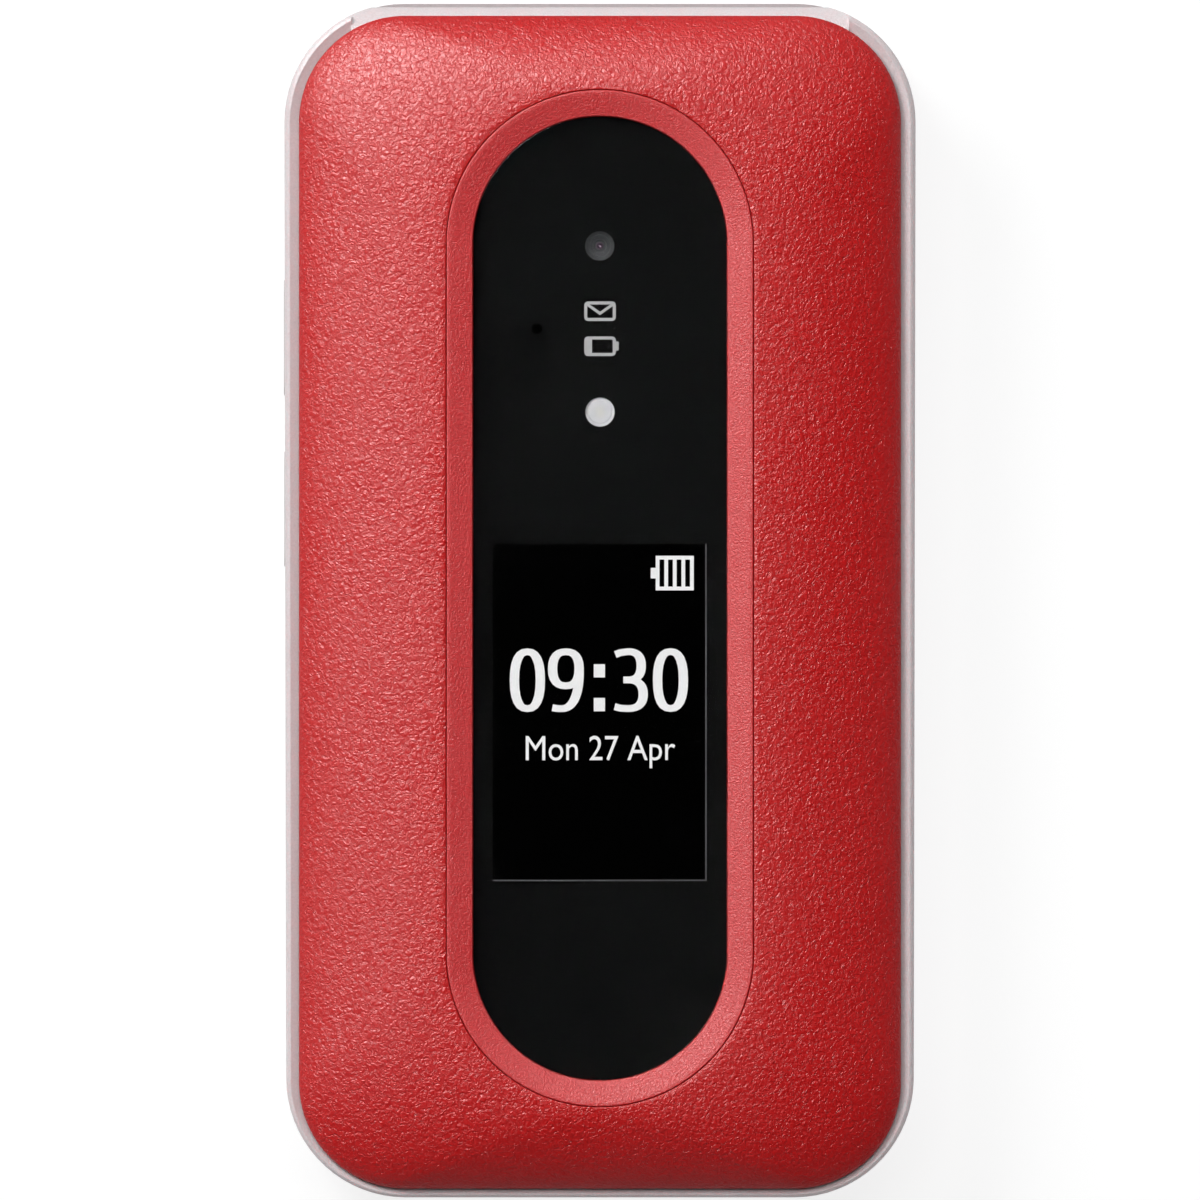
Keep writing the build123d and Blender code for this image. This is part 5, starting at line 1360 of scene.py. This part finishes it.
for cad_node in ("volume_up_key", "volume_down_key"):
    low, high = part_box(cad_node)
    made, tree, shader, coords = moulded_plastic("pearl_" + cad_node, *SIDE_PEARL, 0.2, 0.02, (0.34, 0.48))
    place = axes(tree, coords)
    along = apart(tree, place["Y"], (low.y + high.y) / 2)
    upwards = apart(tree, place["Z"], (low.z + high.z) / 2)
    sign = arm(tree, along, upwards)
    if cad_node == "volume_up_key":
        sign = maths(tree, "MAXIMUM", sign, arm(tree, upwards, along))
    # the sign's darker grey is painted shade, standing for a sunk sign
    overprint(tree, shader, maths(tree, "MULTIPLY", sign, 0.7), (0.12, 0.11, 0.11, 1))
    finish_node(cad_node, made)


# Assistance key ------------
# Sunk red key in the back, found by touch from the three dots on it.
DOT_R = 0.45 * MM
DOT_RISE = 0.2 * MM
DOT_ROOT = 0.05 * MM  # its foot, inside the key
DOT_PITCH = 2.2 * MM
assist_low, assist_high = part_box("assistance_key")
FINE_RED = ((0.56, 0.025, 0.028), (0.47, 0.015, 0.018))
assist_red = moulded_plastic("fine_red_key_plastic", *FINE_RED, 0.2, 0.015, (0.34, 0.46))[0]
finish_node("assistance_key", assist_red)
assist_x, assist_y = middle(assist_low, assist_high)
dot = [(DOT_R, assist_low.z + DOT_ROOT)] + dome(DOT_R, assist_low.z, -DOT_RISE, 6, 0.02 * MM)
dots = []
for step in (-1, 0, 1):
    dots.append(turned("touch_dot", assist_x + step * DOT_PITCH, assist_y, dot, steps=24))
dress(joined("assistance_key_dots", dots), assist_red, "assistance_key", "red_plastic")


# Base screws ------------
# Four small steel screws with crossed slots, driven from the back through the tub and
# the board into the deck.
HEAD_R = 1.4 * MM
HEAD_T = 0.6 * MM
HEAD_EDGE = 0.15 * MM
SHANK_R = 0.7 * MM
SLOT_L = 1.7 * MM
SLOT_W = 0.36 * MM
SLOT_DEPTH = 0.35 * MM
screws_low, screws_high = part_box("base_screws")
head_top = screws_low.z + HEAD_T
screw_profile = [(HEAD_R - HEAD_EDGE, screws_low.z), (HEAD_R - HEAD_EDGE / 3, screws_low.z + HEAD_EDGE / 3)]
screw_profile += [(HEAD_R, screws_low.z + HEAD_EDGE), (HEAD_R, head_top)]
screw_profile += [(SHANK_R, head_top), (SHANK_R, screws_high.z)]
screws = []
for x in (screws_low.x + HEAD_R, screws_high.x - HEAD_R):
    for y in (screws_low.y + HEAD_R, screws_high.y - HEAD_R):
        screw = turned("case_screw", x, y, screw_profile, steps=40)
        place = Vector((x, y, screws_low.z))
        halves = [Vector((*sides, 2 * SLOT_DEPTH)) / 2 for sides in ((SLOT_L, SLOT_W), (SLOT_W, SLOT_L))]
        cut(screw, [cube(place - half, place + half) for half in halves])
        screws.append(screw)
dress(joined("case_screws", screws), turned_steel, "base", "steel", "base_screws")


# Battery, its connector and the card holder ------------
# A flat cell in a printed wrap lies in its bay under the cover, against the sprung
# connector. A card slides into the tray beside it.
WRAP_BAND = 7.0 * MM
battery_low, battery_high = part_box("battery")
WRAP = ((0.060, 0.062, 0.068), (0.042, 0.043, 0.048))
battery_wrap, tree, shader, coords = moulded_plastic("charcoal_battery_wrap", *WRAP, 0.3, 0.006, (0.28, 0.4))
band_y = battery_high.y - WRAP_BAND
band = spread(tree, axes(tree, coords)["Y"], band_y, band_y + 0.1 * MM)
overprint(tree, shader, band, (0.50, 0.50, 0.52, 1))
finish_node("battery", battery_wrap)
# its print, read from the back with the connector above: y runs the other way there
WRAP_PRINT_T = 0.01 * MM
WRAP_PRINT_LIFT = 0.002 * MM
VOLTS_SIZE = 5.0 * MM
POLES = [block(-6.2, -3.8, -0.25, 0.25), block(3.8, 6.2, -0.25, 0.25)]
POLES += [block(4.75, 5.25, -1.2, -0.25), block(4.75, 5.25, 0.25, 1.2)]
wrap_print = battery_low.z - WRAP_PRINT_LIFT
poles = placed(POLES, 0, -(battery_high.y - WRAP_BAND / 2), MM)
poles = printed("battery_poles", poles, wrap_print, WRAP_PRINT_T, faces_down=True)
dress(poles, charcoal, "base", "battery_wrap")
volts_y = -(battery_low.y + battery_high.y) / 2
volts = word("battery_volts", "3.7 V", 0.0, volts_y, VOLTS_SIZE, wrap_print, WRAP_PRINT_T, faces_down=True)
dress(volts, white_print, "base", "battery_wrap")
BLADE_PITCH = 2.5 * MM
sprung_gold, tree, shader, coords = moulded_plastic(
    "connector_with_gold_springs", *BLACK, 0.2, 0.02, (0.4, 0.6)
)
blade_wave = wave(tree, axes(tree, coords)["X"], math.tau / BLADE_PITCH, "COSINE")
blades = spread(tree, blade_wave, 0.55, 0.65)
overprint(tree, shader, blades, (0.83, 0.61, 0.27, 1))
surface(tree, shader, Metallic=blades)
finish_node("battery_connector", sprung_gold)
ALONG_Y = (0.08, 3, 0.08)
NICKEL = ((0.66, 0.65, 0.62), (0.56, 0.55, 0.53))
plated_steel = drawn_metal("nickel_plated_sheet", *NICKEL, ALONG_Y, 0.006, (0.22, 0.38))[0]
finish_node("sim_card_holder", plated_steel)


# Boards, sound and sockets ------------
# The main board fills the base, with tinned cans over its circuits. The loudspeaker sits
# behind a grille with a dust mesh, and the sockets open through the free end.
finish_node("main_board", solder_green)
TINNED = ((0.70, 0.70, 0.69), (0.60, 0.60, 0.60))
tinned = drawn_metal("tinned_shield_sheet", *TINNED, ALONG_X, 0.008, (0.3, 0.45))[0]
for name in ("shield_cans", "vibration_motor"):
    finish_node(name, tinned)
finish_node("loudspeaker", black_plastic)
finish_node("speaker_mesh", mesh_cloth)
finish_node("headset_jack", black_plastic)
usb_low, usb_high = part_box("usb_port")
TONGUE_HALF_W = 2.95 * MM
TONGUE_HALF_T = 0.38 * MM
CONTACT_PITCH = 0.5 * MM
SHELL = ((0.66, 0.66, 0.66), (0.55, 0.55, 0.55))
socket_shell, tree, shader, coords = drawn_metal(
    "socket_shell_with_tongue", *SHELL, ALONG_Y, 0.006, (0.22, 0.36)
)
place = axes(tree, coords)
in_thickness = maths(tree, "LESS_THAN", apart(tree, place["Z"], (usb_low.z + usb_high.z) / 2), TONGUE_HALF_T)
in_width = maths(tree, "LESS_THAN", maths(tree, "ABSOLUTE", place["X"]), TONGUE_HALF_W)
contacts = spread(tree, wave(tree, place["X"], math.tau / CONTACT_PITCH, "COSINE"), 0.1, 0.3)
tongue_tint = blend(tree, contacts, (0.02, 0.02, 0.02, 1), (0.75, 0.55, 0.25, 1))
overprint(tree, shader, maths(tree, "MULTIPLY", in_thickness, in_width), tongue_tint)
finish_node("usb_port", socket_shell)
